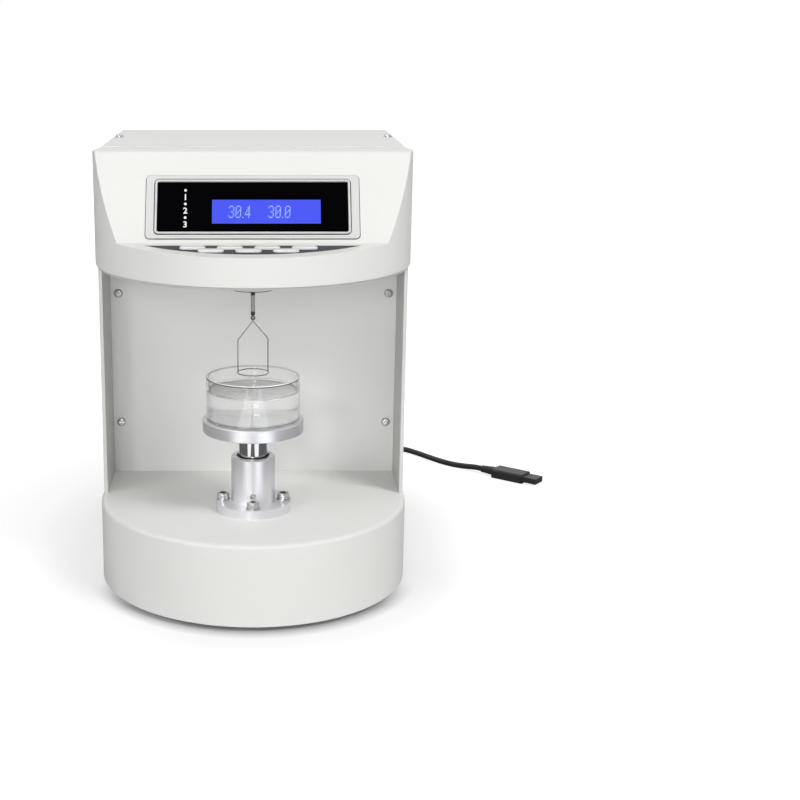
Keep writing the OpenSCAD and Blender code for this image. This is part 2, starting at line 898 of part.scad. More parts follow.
module balance_frame() {
    rear = pivot_y + coil_arm + magnet_r + 3;
    front = pivot_y - 16;
    upright_h = pivot_h + 6;
    color(turned) placed() difference() {
        union() {
            block(2 * (upright_in + upright_t), front, rear, head_z, head_z + frame_t);
            for (x = [-1, 1])
                translate([x * (upright_in + upright_t / 2), pivot_y, head_z + upright_h / 2])
                    cube([upright_t, 16, upright_h], center = true);
        }
        translate([-base_r / 2, pivot_y, pivot_z]) rotate([0, 90, 0])
            cylinder(d = shaft3_d + 2 * run_gap, h = base_r);
    }
}

module balance_beam() {
    front = stage_y + 6;
    fork_front = stage_y - 3.5;
    rear = pivot_y + coil_arm + 11;
    color(turned) placed() difference() {
        union() {
            block(beam_w, front, rear, pivot_z - beam_t / 2, pivot_z + beam_t / 2);
            block(beam_w, fork_front, front, pivot_z - beam_t / 2, pivot_z + beam_t / 2);
        }
        block(2 * fork_in, fork_front - cut, front - 1, pivot_z - beam_t, pivot_z + beam_t);
        translate([-base_r / 2, stage_y, pivot_z]) rotate([0, 90, 0])
            cylinder(d = pin_d + 2 * run_gap, h = base_r);
        translate([-base_r / 2, pivot_y, pivot_z]) rotate([0, 90, 0])
            cylinder(d = shaft3_d, h = base_r);
    }
}

module beam_pivot() {
    length = 2 * (upright_in + upright_t);
    color(steel) placed() translate([-length / 2, pivot_y, pivot_z]) rotate([0, 90, 0])
        cylinder(d = shaft3_d, h = length);
}

module voice_coil() {
    z0 = head_z + frame_t + well_floor + 2;
    z1 = pivot_z - beam_t / 2;
    cap_t = 2;
    color(copper) placed() translate([0, pivot_y + coil_arm, z0]) difference() {
        cylinder(r = voice_r + voice_wall / 2, h = z1 - z0);
        translate([0, 0, -cut]) cylinder(r = voice_r - voice_wall / 2, h = z1 - z0 - cap_t + cut);
    }
}

module magnet() {
    color(black) placed() translate([0, pivot_y + coil_arm, head_z + frame_t]) difference() {
        cylinder(r = magnet_r, h = magnet_h);
        translate([0, 0, well_floor]) difference() {
            cylinder(r = well_r, h = magnet_h);
            cylinder(r = pole_r, h = magnet_h - well_floor - 3);
        }
    }
}

module counterweight() {
    y0 = pivot_y + coil_arm + 11;
    color(brass) placed() translate([0, y0, pivot_z]) rotate([-90, 0, 0])
        cylinder(d = weight_d, h = weight_l);
}

module hanger_rod() {
    rod_foot = hook_mid + hook_r;
    pin_l = beam_w;
    color(chrome) placed() at_stage(0) {
        translate([0, 0, rod_foot - 0.2]) cylinder(d = hanger_d, h = pivot_z - rod_foot + 0.2);
        translate([-pin_l / 2, 0, pivot_z]) rotate([0, 90, 0]) cylinder(d = pin_d, h = pin_l);
        translate([0, 0, hook_mid]) rotate([90, 0, 0]) ring_solid(hook_r, hook_wire, 24);
    }
}

// The legs are a little thinner than the ring and are bent over its stirrup's shoulders
module platinum_ring() {
    leg_x = ring_d / 2;
    leg_d = wire_d * 0.9;
    over = wire_d / 4;
    apex = [0, 0, eye_z - eye_r];
    color(chrome) placed() at_stage(0) {
        translate([0, 0, eye_z]) rotate([0, 90, 0]) ring_solid(eye_r, eye_wire, 8);
        rotate([0, 0, ring_turn]) {
            for (x = [-leg_x, leg_x]) {
                wire([x, 0, shoulder_z] + over * unit([x, 0, shoulder_z] - apex), apex, leg_d * 0.94);
                wire([x, 0, ring_z], [x, 0, shoulder_z + over], leg_d);
            }
            translate([0, 0, ring_z]) ring_solid(leg_x, wire_d, 8);
        }
    }
}

// Stage

module stage_ring() {
    for (a = [0:90:270]) rotate([0, 0, a]) translate([flange_pcd / 2, 0, 0]) children();
}

module stage_sleeve() {
    color(turned) placed() difference() {
        at_stage(base_top) union() {
            cylinder(d = flange_d, h = flange_t);
            cylinder(d = sleeve_d, h = sleeve_h - 0.8);
            translate([0, 0, sleeve_h - 0.8]) cylinder(d1 = sleeve_d, d2 = sleeve_d - 1.6, h = 0.8);
        }
        at_stage(base_top - cut) cylinder(d = sleeve_bore, h = sleeve_h + 2 * cut);
        at_stage(base_top - cut) stage_ring() cylinder(d = bolt_d + 0.4, h = flange_t + 2 * cut);
        at_stage(key_z) rotate([90, 0, 0]) cylinder(d = bolt_d, h = sleeve_d);
    }
}

module guide_bush() {
    color(brass) placed() at_stage(bush_z) difference() {
        cylinder(d = sleeve_bore, h = bush_l);
        translate([0, 0, -cut]) cylinder(d = rod_d + 2 * run_gap, h = bush_l + 2 * cut);
    }
}

module flange_screws() {
    socket_d = 3.6;
    top = base_top + flange_t + washer_t;
    color(steel) placed() at_stage(0) stage_ring() {
        translate([0, 0, base_top + flange_t]) cylinder(d = washer_d, h = washer_t);
        translate([0, 0, top]) difference() {
            cylinder(d = bolt_head_d, h = bolt_head_h);
            translate([0, 0, bolt_head_h - 2.2]) cylinder(d = socket_d, h = 3, $fn = 6);
        }
        translate([0, 0, base_top - bolt_reach]) cylinder(d = bolt_d, h = bolt_reach + flange_t + washer_t);
    }
}

module key_screw() {
    dog_d = 3;
    body_from = sleeve_bore / 2;
    body_to = sleeve_d / 2 - 1;
    dog_from = rod_d / 2 - groove_depth + 0.4;
    color(steel) placed() at_stage(key_z) rotate([90, 0, 0]) difference() {
        union() {
            translate([0, 0, dog_from]) cylinder(d = dog_d, h = body_from - dog_from);
            translate([0, 0, body_from]) cylinder(d = bolt_d, h = body_to - body_from);
        }
        translate([0, 0, body_to - 1.5]) cylinder(d = 2.2, h = 3, $fn = 6);
    }
}

module lift_rod() {
    bore_h = rod_l - rod_roof;
    color(chrome) placed() difference() {
        at_stage(rod_z) {
            cylinder(d = rod_d, h = rod_l);
            translate([0, 0, rod_l]) cylinder(d = spigot_d, h = spigot_h);
        }
        at_stage(rod_z - cut) cylinder(d = rod_bore, h = bore_h + cut);
        translate([-groove_w / 2, stage_y - rod_d / 2 - cut, rod_z - cut])
            cube([groove_w, groove_depth + cut, groove_top - rod_z + cut]);
    }
}

module platform() {
    chamfer = 0.4;
    color(turned) placed() at_stage(platform_z) difference() {
        union() {
            cylinder(d1 = platform_d - 2 * chamfer, d2 = platform_d, h = chamfer);
            translate([0, 0, chamfer]) cylinder(d = platform_d, h = platform_t - 2 * chamfer);
            translate([0, 0, platform_t - chamfer])
                cylinder(d1 = platform_d, d2 = platform_d - 2 * chamfer, h = chamfer);
        }
        translate([0, 0, -cut]) cylinder(d = spigot_d, h = spigot_h + cut);
    }
}

module lead_nut() {
    color(brass) placed() at_stage(rod_z) difference() {
        cylinder(d = rod_bore, h = nut_l);
        translate([0, 0, -cut]) cylinder(d = screw_d + 2 * run_gap, h = nut_l + 2 * cut);
    }
}

module lead_screw() {
    tip = 1;
    color(steel) placed() at_stage(screw_z) {
        cylinder(d = screw_d, h = screw_top - screw_z - tip);
        translate([0, 0, screw_top - screw_z - tip]) cylinder(d1 = screw_d, d2 = screw_d - 2 * tip, h = tip);
    }
}

module screw_bearing() {
    color(steel) placed() at_stage(plate_z) difference() {
        union() {
            cylinder(d = bearing_d + 2 * bearing_flange, h = 2);
            cylinder(d = bearing_d, h = bearing_h);
        }
        translate([0, 0, -cut]) cylinder(d = screw_d + 2 * run_gap, h = bearing_h + 2 * cut);
    }
}

module pulley(bore) {
    difference() {
        union() {
            cylinder(r = pulley_rim_r, h = pulley_rim);
            translate([0, 0, pulley_rim + tooth_h]) cylinder(r = pulley_rim_r, h = pulley_rim);
            cylinder(r = pulley_r, h = 2 * pulley_rim + tooth_h + hub_h);
        }
        translate([0, 0, -cut]) cylinder(d = bore, h = 2 * pulley_rim + tooth_h + hub_h + 2 * cut);
    }
}

module screw_pulley() {
    color(turned) placed() at_stage(pulley_z) pulley(screw_d);
}

module belt_outline(r) {
    circle(r);
    translate([0, belt_span]) circle(r);
    translate([-r, 0]) square([2 * r, belt_span]);
}

module drive_belt() {
    color(black) placed() at_stage(belt_z) linear_extrude(belt_h) difference() {
        belt_outline(belt_r + belt_t);
        belt_outline(belt_r);
    }
}

module stepper_motor() {
    corner = 4;
    shaft_in = 15;
    half = motor_w / 2;
    outline = [
        [half, half - corner], [half - corner, half], [corner - half, half], [-half, half - corner],
        [-half, corner - half], [corner - half, -half], [half - corner, -half], [half, corner - half]
    ];
    color(black) placed() translate([0, motor_y, motor_z]) difference() {
        union() {
            linear_extrude(motor_h) polygon(outline);
            translate([0, 0, -2]) cylinder(d = boss_d, h = 2);
        }
        translate([0, 0, -3]) cylinder(d = shaft_d + 2 * run_gap, h = shaft_in + 3);
    }
}

module motor_pulley() {
    color(turned) placed() translate([0, motor_y, pulley_z]) {
        pulley(shaft_d);
        cylinder(d = shaft_d, h = motor_z - pulley_z + 14);
    }
}

module motor_bracket() {
    hole_d = boss_d + 0.4;
    color(steel) placed() translate([0, motor_y, 0]) difference() {
        union() {
            block(bracket_w, -bracket_d / 2, bracket_d / 2, bracket_z, motor_z);
            for (x = [-1, 1])
                translate([x * (bracket_w - bracket_t) / 2, 0, (plate_z + motor_z) / 2])
                    cube([bracket_t, bracket_d, motor_z - plate_z], center = true);
        }
        translate([0, 0, bracket_z - cut]) cylinder(d = hole_d, h = bracket_t + 2 * cut);
    }
}

module sample_dish() {
    floor_thick = 2.2;
    r = dish_d / 2;
    color(glass) placed() at_stage(dish_z) difference() {
        union() {
            cylinder(r1 = r - 1, r2 = r, h = 1);
            translate([0, 0, 1]) cylinder(r = r, h = dish_h - 1);
        }
        translate([0, 0, floor_thick]) cylinder(r = r - dish_wall, h = dish_h);
    }
}

// Electrics

// A circuit board on four posts, with its lower left corner at the origin
module board_on_posts(w, d) {
    post_d = 6;
    post_in = 5;
    translate([0, 0, board_post_h]) cube([w, d, board_t]);
    for (x = [post_in, w - post_in]) {
        for (y = [post_in, d - post_in]) translate([x, y, 0]) cylinder(d = post_d, h = board_post_h + cut);
    }
}

module main_board() {
    w = 72;
    d = back_y - 33 - boards_y;
    top = board_post_h;
    color(board_green) placed() translate([8.4 - chamber_w, boards_y, plate_z]) {
        board_on_posts(w, d);
        translate([12, d * 0.31, top]) cube([14, 14, 4]);
        translate([36, d * 0.17, top]) cube([24, 10, 5]);
        translate([40, d * 0.54, top]) cube([18, d * 0.31, 12]);
        translate([16, d * 0.7, top]) cylinder(d = 10, h = 16);
    }
}

module power_supply() {
    w = 70;
    d = back_y - inlet_l - 17 - boards_y;
    top = board_post_h;
    color(brass) placed() translate([chamber_w - 78.4, boards_y, plate_z]) {
        board_on_posts(w, d);
        translate([20, d * 0.3, top]) cube([32, d * 0.34, 26]);
        translate([14, d * 0.83, top]) cylinder(d = 12, h = 20);
        translate([58, d * 0.81, top]) cylinder(d = 16, h = 24);
        translate([8, d * 0.14, top]) cube([4, d * 0.48, 22]);
    }
}

function inlet_body_w() = inlet_w - 6;

function inlet_body_h() = inlet_h - 4;

function inlet_mouth_x() = -inlet_w / 2 + 18;

function rocker_x() = inlet_w / 2 - 12;

module mains_inlet() {
    mouth = [24, 16];
    mouth_l = 15;
    blade_l = 9;
    well_w = rocker_w + 0.6;
    well_h = 2 * rocker_r + 0.8;
    well_l = 13;
    color(black) placed() translate([inlet_x, back_y, socket_z]) difference() {
        union() {
            translate([-inlet_w / 2, 0, -inlet_h / 2]) cube([inlet_w, inlet_t, inlet_h]);
            translate([-inlet_body_w() / 2, -inlet_l, -inlet_body_h() / 2])
                cube([inlet_body_w(), inlet_l, inlet_body_h()]);
        }
        difference() {
            translate([inlet_mouth_x() - mouth[0] / 2, inlet_t - mouth_l, -mouth[1] / 2])
                cube([mouth[0], mouth_l + cut, mouth[1]]);
            for (p = [[-6, -2], [0, 2], [6, -2]])
                translate([inlet_mouth_x() + p[0] - 1, inlet_t - mouth_l - cut, p[1] - 2.5])
                    cube([2, blade_l + cut, 5]);
        }
        translate([rocker_x() - well_w / 2, inlet_t - well_l, -well_h / 2])
            cube([well_w, well_l + cut, well_h]);
        translate([rocker_x() - rocker_bar_l / 2 - fit_gap, rocker_y - back_y, 0]) rotate([0, 90, 0])
            cylinder(d = rocker_bar_d + 2 * run_gap, h = rocker_bar_l + 2 * fit_gap);
    }
}

// The rocker turns about a bar across it and rests with its upper half pressed in
module power_rocker() {
    deep = 8;
    color(black) placed() translate([inlet_x + rocker_x(), rocker_y, socket_z]) rotate([rocker_tilt, 0, 0]) {
        translate([-rocker_w / 2, 0, 0]) rotate([90, 0, 90]) linear_extrude(rocker_w) intersection() {
            circle(rocker_r);
            polygon([
                [0, 0],
                [rocker_r * tan(rocker_tilt), rocker_r],
                [-deep, rocker_r],
                [-deep, -rocker_r],
                [rocker_r * tan(rocker_tilt), -rocker_r]
            ]);
        }
        translate([-rocker_bar_l / 2, 0, 0]) rotate([0, 90, 0]) cylinder(d = rocker_bar_d, h = rocker_bar_l);
    }
}

function socket_w() = 12;

function socket_h() = 11;

module data_socket() {
    body_l = 16;
    mouth = [8.9, 8.2];
    board_gap = 0.8;
    color(steel) placed() translate([-socket_x, back_y, socket_z]) difference() {
        union() {
            translate([-socket_w() / 2, -body_l, -socket_h() / 2]) cube([socket_w(), body_l, socket_h()]);
            translate([-socket_w() / 2 - 4, -cover_wall - board_gap, -socket_h() / 2 - 3])
                cube([socket_w() + 8, board_gap, socket_h() + 6]);
        }
        translate([-mouth[0] / 2, -10, -mouth[1] / 2]) cube([mouth[0], 11, mouth[1]]);
    }
}

// Data cord

module rear_plug() {
    shell = [8.5, 7.8];
    mould = [11.6, 10.6];
    color(black) placed() translate([-socket_x, back_y, socket_z]) {
        translate([-shell[0] / 2, -shell_l, -shell[1] / 2]) cube([shell[0], shell_l + plug_gap + 1, shell[1]]);
        translate([0, plug_gap, 0]) rotate([-90, 0, 0]) linear_extrude(mould_l)
            rounded(mould[0], mould[1], 2);
        translate([0, plug_gap + mould_l, 0]) rotate([-90, 0, 0])
            cylinder(d1 = 8, d2 = cord_d + 1, h = relief_l);
    }
}

module cord_rear() {
    color(black) placed() tube(cord_rear_path, cord_d, 8);
}

module cord_coil() {
    color(black) placed() tube(coil_points, cord_d, 6);
}

module cord_front() {
    color(black) placed() tube(cord_front_path, cord_d, 8);
}

module front_plug() {
    shell = [12, 4.5];
    mould = [15.4, 7.6];
    tongue_l = 12;
    color(black) placed() translate(front_at) rotate([0, 0, front_turn - 90]) {
        rotate([-90, 0, 0]) cylinder(d1 = cord_d + 1, d2 = 7.4, h = relief_l);
        translate([0, relief_l, 0]) rotate([-90, 0, 0]) linear_extrude(mould_l)
            rounded(mould[0], mould[1], 2);
        translate([-shell[0] / 2, relief_l + mould_l, -shell[1] / 2]) cube([shell[0], tongue_l, shell[1]]);
    }
}

base_cover();
base_plate();
rubber_feet();
side_panel_left();
side_panel_right();
chamber_wall();
wall_screws();
head_shell();
head_floor();
top_cover();
rear_panel();
cover_screws();
display_bezel();
display_window();
lcd_module();
display_board();
indicator_leds();
keypad_bed();
key_1();
key_2();
key_3();
key_4();
key_5();
key_6();
key_7();
key_board();
hook_collar();
balance_frame();
balance_beam();
beam_pivot();
voice_coil();
magnet();
counterweight();
hanger_rod();
platinum_ring();
stage_sleeve();
guide_bush();
flange_screws();
key_screw();
lift_rod();
platform();
lead_nut();
lead_screw();
screw_bearing();
screw_pulley();
drive_belt();
stepper_motor();
motor_pulley();
motor_bracket();
sample_dish();
main_board();
power_supply();
mains_inlet();
power_rocker();
data_socket();
rear_plug();
cord_rear();
cord_coil();
cord_front();
front_plug();
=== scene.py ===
import math
import bpy
from mathutils import Matrix, Vector
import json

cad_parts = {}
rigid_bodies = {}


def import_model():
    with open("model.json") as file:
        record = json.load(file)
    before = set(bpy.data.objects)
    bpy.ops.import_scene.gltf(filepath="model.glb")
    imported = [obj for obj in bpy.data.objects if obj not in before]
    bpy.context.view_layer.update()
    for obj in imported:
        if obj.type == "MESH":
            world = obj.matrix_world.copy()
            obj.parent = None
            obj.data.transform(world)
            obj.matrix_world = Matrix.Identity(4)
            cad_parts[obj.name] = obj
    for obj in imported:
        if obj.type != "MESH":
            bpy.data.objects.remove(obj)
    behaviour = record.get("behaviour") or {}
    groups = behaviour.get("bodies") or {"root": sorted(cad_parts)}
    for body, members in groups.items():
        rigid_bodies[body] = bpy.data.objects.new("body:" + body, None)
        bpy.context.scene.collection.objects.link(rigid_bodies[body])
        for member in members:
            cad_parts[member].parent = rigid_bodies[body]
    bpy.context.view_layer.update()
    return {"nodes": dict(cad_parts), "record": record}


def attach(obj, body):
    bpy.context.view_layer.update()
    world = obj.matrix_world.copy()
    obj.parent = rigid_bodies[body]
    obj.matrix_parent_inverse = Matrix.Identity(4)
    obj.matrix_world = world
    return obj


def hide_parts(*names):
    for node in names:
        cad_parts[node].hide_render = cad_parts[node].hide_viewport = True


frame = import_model()
nodes = frame["nodes"]
bodyOf = {name: body for body, names in frame["record"]["behaviour"]["bodies"].items() for name in names}
slotOf = {part["node"]: part["material_slot"] for part in frame["record"]["subparts"]}

# Places that several pieces share, in millimetres and degrees
places = {
    "arcY": -47.1114,  # centre of the base's front arc, where the cord's route is measured from
    "stageY": -76.6114,  # axis of the stage, the ring and the hanger
    "wallY": 1.8886,
    "coverY": 71.8886,
    "backY": 143.8886,
    "foldY": -105.6114,  # where the key ledge meets the display face
    "foldZ": 230.3,
    "faceTilt": 58.0,
    "ledgeTilt": 3.6,
    "windowUp": 23.25,  # middle of the window, up the face from the fold
    "chamberHalf": 96.4,  # inner side of the side walls
    "deckZ": 54.7,  # chamber's floor
    "dishZ": 115.1,
    "hookZ": 178.3,
}


weldReach = 0.000002  # metres: points this close become one


def mm(*values):
    return Vector([value / 1000 for value in values])


# Objects and meshes

def pickOnly(*items):
    for other in bpy.context.view_layer.objects:
        other.select_set(False)
    for item in items:
        item.select_set(True)
    bpy.context.view_layer.objects.active = items[0]


def linked(item):
    bpy.context.scene.collection.objects.link(item)
    return item


def ownCopy(item):
    copy = item.copy()
    copy.data = item.data.copy()
    return linked(copy)


def settle(piece, name):
    pickOnly(piece)
    bpy.ops.object.transform_apply(location=True, rotation=True, scale=True)
    piece.name = name
    piece.data.name = name
    return piece


def joinInto(name, pieces):
    pickOnly(*pieces)
    bpy.ops.object.join()
    return settle(bpy.context.view_layer.objects.active, name)


def applyLast(piece):
    pickOnly(piece)
    bpy.ops.object.modifier_apply(modifier=piece.modifiers[-1].name)


def softEdges(piece, width, segments=2):
    bevel = piece.modifiers.new("softEdges", "BEVEL")
    bevel.width = width / 1000
    bevel.segments = segments
    bevel.limit_method = "ANGLE"
    bevel.angle_limit = math.radians(30)
    bevel.use_clamp_overlap = True
    applyLast(piece)


def flatShading(piece, angle=32):
    pickOnly(piece)
    bpy.ops.object.shade_smooth_by_angle(angle=math.radians(angle))
    weighted = piece.modifiers.new("flatFaces", "WEIGHTED_NORMAL")
    weighted.keep_sharp = True
    applyLast(piece)


def editAll(piece):
    pickOnly(piece)
    bpy.ops.object.mode_set(mode="EDIT")
    bpy.ops.mesh.select_all(action="SELECT")


def leaveEdit():
    bpy.ops.object.mode_set(mode="OBJECT")


def selectFaces(piece, test):
    pickOnly(piece)
    for edge in piece.data.edges:
        edge.select = False
    for vertex in piece.data.vertices:
        vertex.select = False
    for face in piece.data.polygons:
        face.select = bool(test(face))
    bpy.ops.object.mode_set(mode="EDIT")
    bpy.ops.mesh.select_mode(type="FACE")


def looksUp(face):
    return face.normal.z > 0.9


def looksDown(face):
    return face.normal.z < -0.9


def roundFace(piece, test, width, segments):
    selectFaces(piece, test)
    bpy.ops.mesh.bevel(offset=width / 1000, segments=segments, profile=0.5, affect="EDGES")
    leaveEdit()


def outward(piece):
    editAll(piece)
    bpy.ops.mesh.remove_doubles(threshold=weldReach)
    bpy.ops.mesh.normals_make_consistent(inside=False)
    leaveEdit()


def addCylinder(radius, low, high, sides=48, at=(0, 0)):
    bpy.ops.mesh.primitive_cylinder_add(
        vertices=sides, radius=radius / 1000, depth=(high - low) / 1000, location=mm(*at, (low + high) / 2)
    )
    return bpy.context.object


def addTorus(radius, wire, centre, steps, turn=(0, 0, 0)):
    bpy.ops.mesh.primitive_torus_add(
        major_radius=radius / 1000, minor_radius=wire / 1000, major_segments=steps[0], minor_segments=steps[1],
        location=mm(*centre), rotation=[math.radians(angle) for angle in turn],
    )
    return bpy.context.object


def addPlate(name, size):
    bpy.ops.mesh.primitive_plane_add(size=0.001)
    bpy.context.object.scale = (*size, 1)
    return settle(bpy.context.object, name)


# Leaves the plate in edit mode, with all of it selected
def roundedPlate(name, size, corner, segments):
    piece = addPlate(name, size)
    editAll(piece)
    bpy.ops.mesh.bevel(offset=corner / 1000, segments=segments, affect="VERTICES")
    bpy.ops.mesh.select_all(action="SELECT")
    return piece


def curvePiece(name, kind, spots):
    line = bpy.data.curves.new(name, "CURVE")
    line.dimensions = "3D"
    spline = line.splines.new(kind)
    points = spline.bezier_points if kind == "BEZIER" else spline.points
    points.add(len(spots) - 1)
    for point, spot in zip(points, spots):
        if kind == "BEZIER":
            point.co = spot
            point.handle_left_type = point.handle_right_type = "AUTO"
        else:
            point.co = (*spot, 1)
    return linked(bpy.data.objects.new(name, line))


# A closed outline of (radius, height) in millimetres, spun round an upright axis
def lathe(name, outline, centre, steps=96):
    piece = curvePiece(name, "POLY", [mm(radius, 0, height) for radius, height in outline])
    pickOnly(piece)
    bpy.ops.object.convert(target="MESH")
    editAll(piece)
    bpy.ops.mesh.spin(steps=steps, angle=2 * math.pi, center=(0, 0, 0), axis=(0, 0, 1))
    leaveEdit()
    piece.location = mm(*centre)
    settle(piece, name)
    outward(piece)
    return piece


def arcSpots(centre, radius, start, end, steps=6):
    angles = [math.radians(start + (end - start) * i / steps) for i in range(steps + 1)]
    return [(centre[0] + radius * math.cos(a), centre[1] + radius * math.sin(a)) for a in angles]


# Looks, bodies and what each piece stands for

def wear(piece, look, body, stands=()):
    piece.data.materials.clear()
    piece.data.materials.append(look)
    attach(piece, body)
    if stands:
        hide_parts(*stands)
    return piece


def cadCopy(node, name):
    piece = ownCopy(nodes[node])
    piece.parent = None
    piece.matrix_world = Matrix.Identity(4)
    for key in list(piece.keys()):
        del piece[key]
    piece.name = name
    editAll(piece)
    bpy.ops.mesh.remove_doubles(threshold=weldReach)
    bpy.ops.mesh.dissolve_limited(angle_limit=math.radians(0.3))
    leaveEdit()
    return piece


def dressNode(node, width, segments=2):
    piece = cadCopy(node, node + ".dressed")
    softEdges(piece, width, segments)
    flatShading(piece)
    return wear(piece, ownLooks.get(node, looks[slotOf[node]]), bodyOf[node], [node])


def dressAll(widths, segments):
    for node, width in widths.items():
        dressNode(node, width, segments)


# Camera, taken from the photograph's perspective

cameraView = {
    "place": (4.29, -943.71, 354.9), "pitch": 75.25, "lens": 64.0, "sensor": 36.0, "shiftX": 0.1752, "reach": 50,
}

bpy.ops.object.camera_add(
    location=mm(*cameraView["place"]), rotation=(math.radians(cameraView["pitch"]), 0, 0)
)
camera = bpy.context.object
camera.name = "photoCamera"
camera.data.lens = cameraView["lens"]
camera.data.sensor_width = cameraView["sensor"]
camera.data.shift_x = cameraView["shiftX"]
camera.data.clip_end = cameraView["reach"]
bpy.context.scene.camera = camera
bpy.context.scene.view_settings.view_transform = "Standard"
print("camera: set")

# Data cord, along the same route as its CAD solids, measured from the arc's centre

cord = {
    "diameter": 4.5,
    "exit": (-60, 231.6, 28),
    "coil": (10, 237),
    "turns": 7,
    "coilRadius": 34,
    "pitch": 5.1,
    "layer": 5,
    "steps": 24,
    "rear": [  # from the exit
        (0, 0, 0), (0, 5, 0), (0, 12.4, -2), (2, 21.4, -7), (6, 29.4, -14), (13, 35.4, -20), (22, 38.4, -24),
    ],
    "lead": [-38, -26, -14, -4.5],
    "front": [  # from the coil's centre
        (10, 34, 7.25), (20, 34, 6), (32, 34, 4), (44, 35, 2.5), (56, 37, 2.25), (68, 39, 2.25),
        (80, 42, 2.25), (92, 44, 2.25), (103, 45, 2.25), (112, 43, 2.25), (120, 38, 2.25),
        (128, 29, 2.25), (136, 18, 2.25), (145, 6, 2.25), (155, -4, 2.25), (164, -11.5, 3),
    ],
    "end": (176, -21, 4),
    "turn": -38,  # degrees, way of the straight stub into the front plug
    "stub": 5,
}


def coilPoint(angle):
    half = cord["turns"] * 180
    radius = cord["coilRadius"] - cord["pitch"] * (half - abs(angle - half)) / 360
    climb = min(max((angle - half + 90) / 180, 0), 1)
    height = cord["diameter"] / 2 + cord["layer"] * climb * climb * (3 - 2 * climb)
    turn = math.radians(angle)
    return (cord["coil"][0] + radius * math.sin(turn), cord["coil"][1] + radius * math.cos(turn), height)


def cordRoute():
    exitX, exitY, exitZ = cord["exit"]
    coilX, coilY = cord["coil"]
    low = cord["diameter"] / 2
    route = [(exitX + x, exitY + y, exitZ + z) for x, y, z in cord["rear"]]
    route += [(coilX + x, coilY + cord["coilRadius"], low) for x in cord["lead"]]
    count = cord["turns"] * cord["steps"]
    route += [coilPoint(i * 360 / cord["steps"]) for i in range(count + 1)]
    route += [(coilX + cord["diameter"], coilY + cord["coilRadius"], low + cord["layer"])]
    route += [(coilX + x, coilY + y, z) for x, y, z in cord["front"]]
    turn = math.radians(cord["turn"])
    end = Vector((coilX + cord["end"][0], coilY + cord["end"][1], cord["end"][2]))
    route += [tuple(end - cord["stub"] * Vector((math.cos(turn), math.sin(turn), 0))), tuple(end)]
    return [mm(x, y + places["arcY"], z) for x, y, z in route]


def makeCord():
    route = cordRoute()
    piece = curvePiece("dataCord", "BEZIER", route)
    piece.data.splines[0].resolution_u = 5
    piece.data.bevel_depth = cord["diameter"] / 2000
    piece.data.bevel_resolution = 5
    piece.data.use_fill_caps = True
    length = sum((b - a).length for a, b in zip(route, route[1:]))
    return piece, route[0], length


# Materials

def startLook(name, colour, metal, rough):
    material = bpy.data.materials.new(name)
    material.use_nodes = True
    shader = material.node_tree.nodes["Principled BSDF"]
    shader.inputs["Base Color"].default_value = (*colour, 1)
    shader.inputs["Metallic"].default_value = metal
    shader.inputs["Roughness"].default_value = rough
    material.diffuse_color = (*colour, 1)
    return material, shader


def addNode(material, kind, **values):
    node = material.node_tree.nodes.new(kind)
    for key, value in values.items():
        setattr(node, key, value)
    return node


# Joins a socket, or sets a plain number
def wire(material, source, socket):
    if isinstance(source, (int, float)):
        socket.default_value = source
    else:
        material.node_tree.links.new(source, socket)


def mathOf(material, operation, *terms, clamp=False):
    node = addNode(material, "ShaderNodeMath", operation=operation, use_clamp=clamp)
    for term, socket in zip(terms, node.inputs):
        wire(material, term, socket)
    return node.outputs[0]


def split(material, vector):
    node = addNode(material, "ShaderNodeSeparateXYZ")
    wire(material, vector, node.inputs[0])
    return node.outputs


def combined(material, first, second):
    node = addNode(material, "ShaderNodeCombineXYZ")
    wire(material, first, node.inputs["X"])
    wire(material, second, node.inputs["Y"])
    return node.outputs[0]


def lengthOf(material, first, second):
    node = addNode(material, "ShaderNodeVectorMath", operation="LENGTH")
    wire(material, combined(material, first, second), node.inputs[0])
    return node.outputs["Value"]


def objectPoint(material, centre=(0, 0, 0), scale=(1, 1, 1)):
    point = addNode(material, "ShaderNodeTexCoord")
    mapping = addNode(material, "ShaderNodeMapping", vector_type="TEXTURE")
    mapping.inputs["Location"].default_value = mm(*centre)
    mapping.inputs["Scale"].default_value = scale
    wire(material, point.outputs["Object"], mapping.inputs["Vector"])
    return mapping.outputs["Vector"]


def noiseAt(material, vector, size, detail=2.0, rough=0.5):
    noise = addNode(material, "ShaderNodeTexNoise")
    noise.inputs["Scale"].default_value = 1000 / size  # size of a spot in millimetres
    noise.inputs["Detail"].default_value = detail
    noise.inputs["Roughness"].default_value = rough
    wire(material, vector, noise.inputs["Vector"])
    return noise.outputs["Fac"]


def ranged(material, value, low, high, fromLow=0.3, fromHigh=0.7):
    spread = addNode(material, "ShaderNodeMapRange")
    spread.inputs["From Min"].default_value = fromLow
    spread.inputs["From Max"].default_value = fromHigh
    spread.inputs["To Min"].default_value = low
    spread.inputs["To Max"].default_value = high
    wire(material, value, spread.inputs["Value"])
    return spread.outputs["Result"]


def mixed(material, factor, first, second):
    mix = addNode(material, "ShaderNodeMix", data_type="RGBA")
    mix.inputs[6].default_value = (*first, 1)
    mix.inputs[7].default_value = (*second, 1)
    wire(material, factor, mix.inputs[0])
    return mix.outputs[2]


def bumped(material, shader, height, depth):
    bump = addNode(material, "ShaderNodeBump")
    bump.inputs["Distance"].default_value = depth / 1000
    wire(material, height, bump.inputs["Height"])
    wire(material, bump.outputs["Normal"], shader.inputs["Normal"])


def shaded(colour, share):
    return tuple(min(channel * share, 1) for channel in colour)


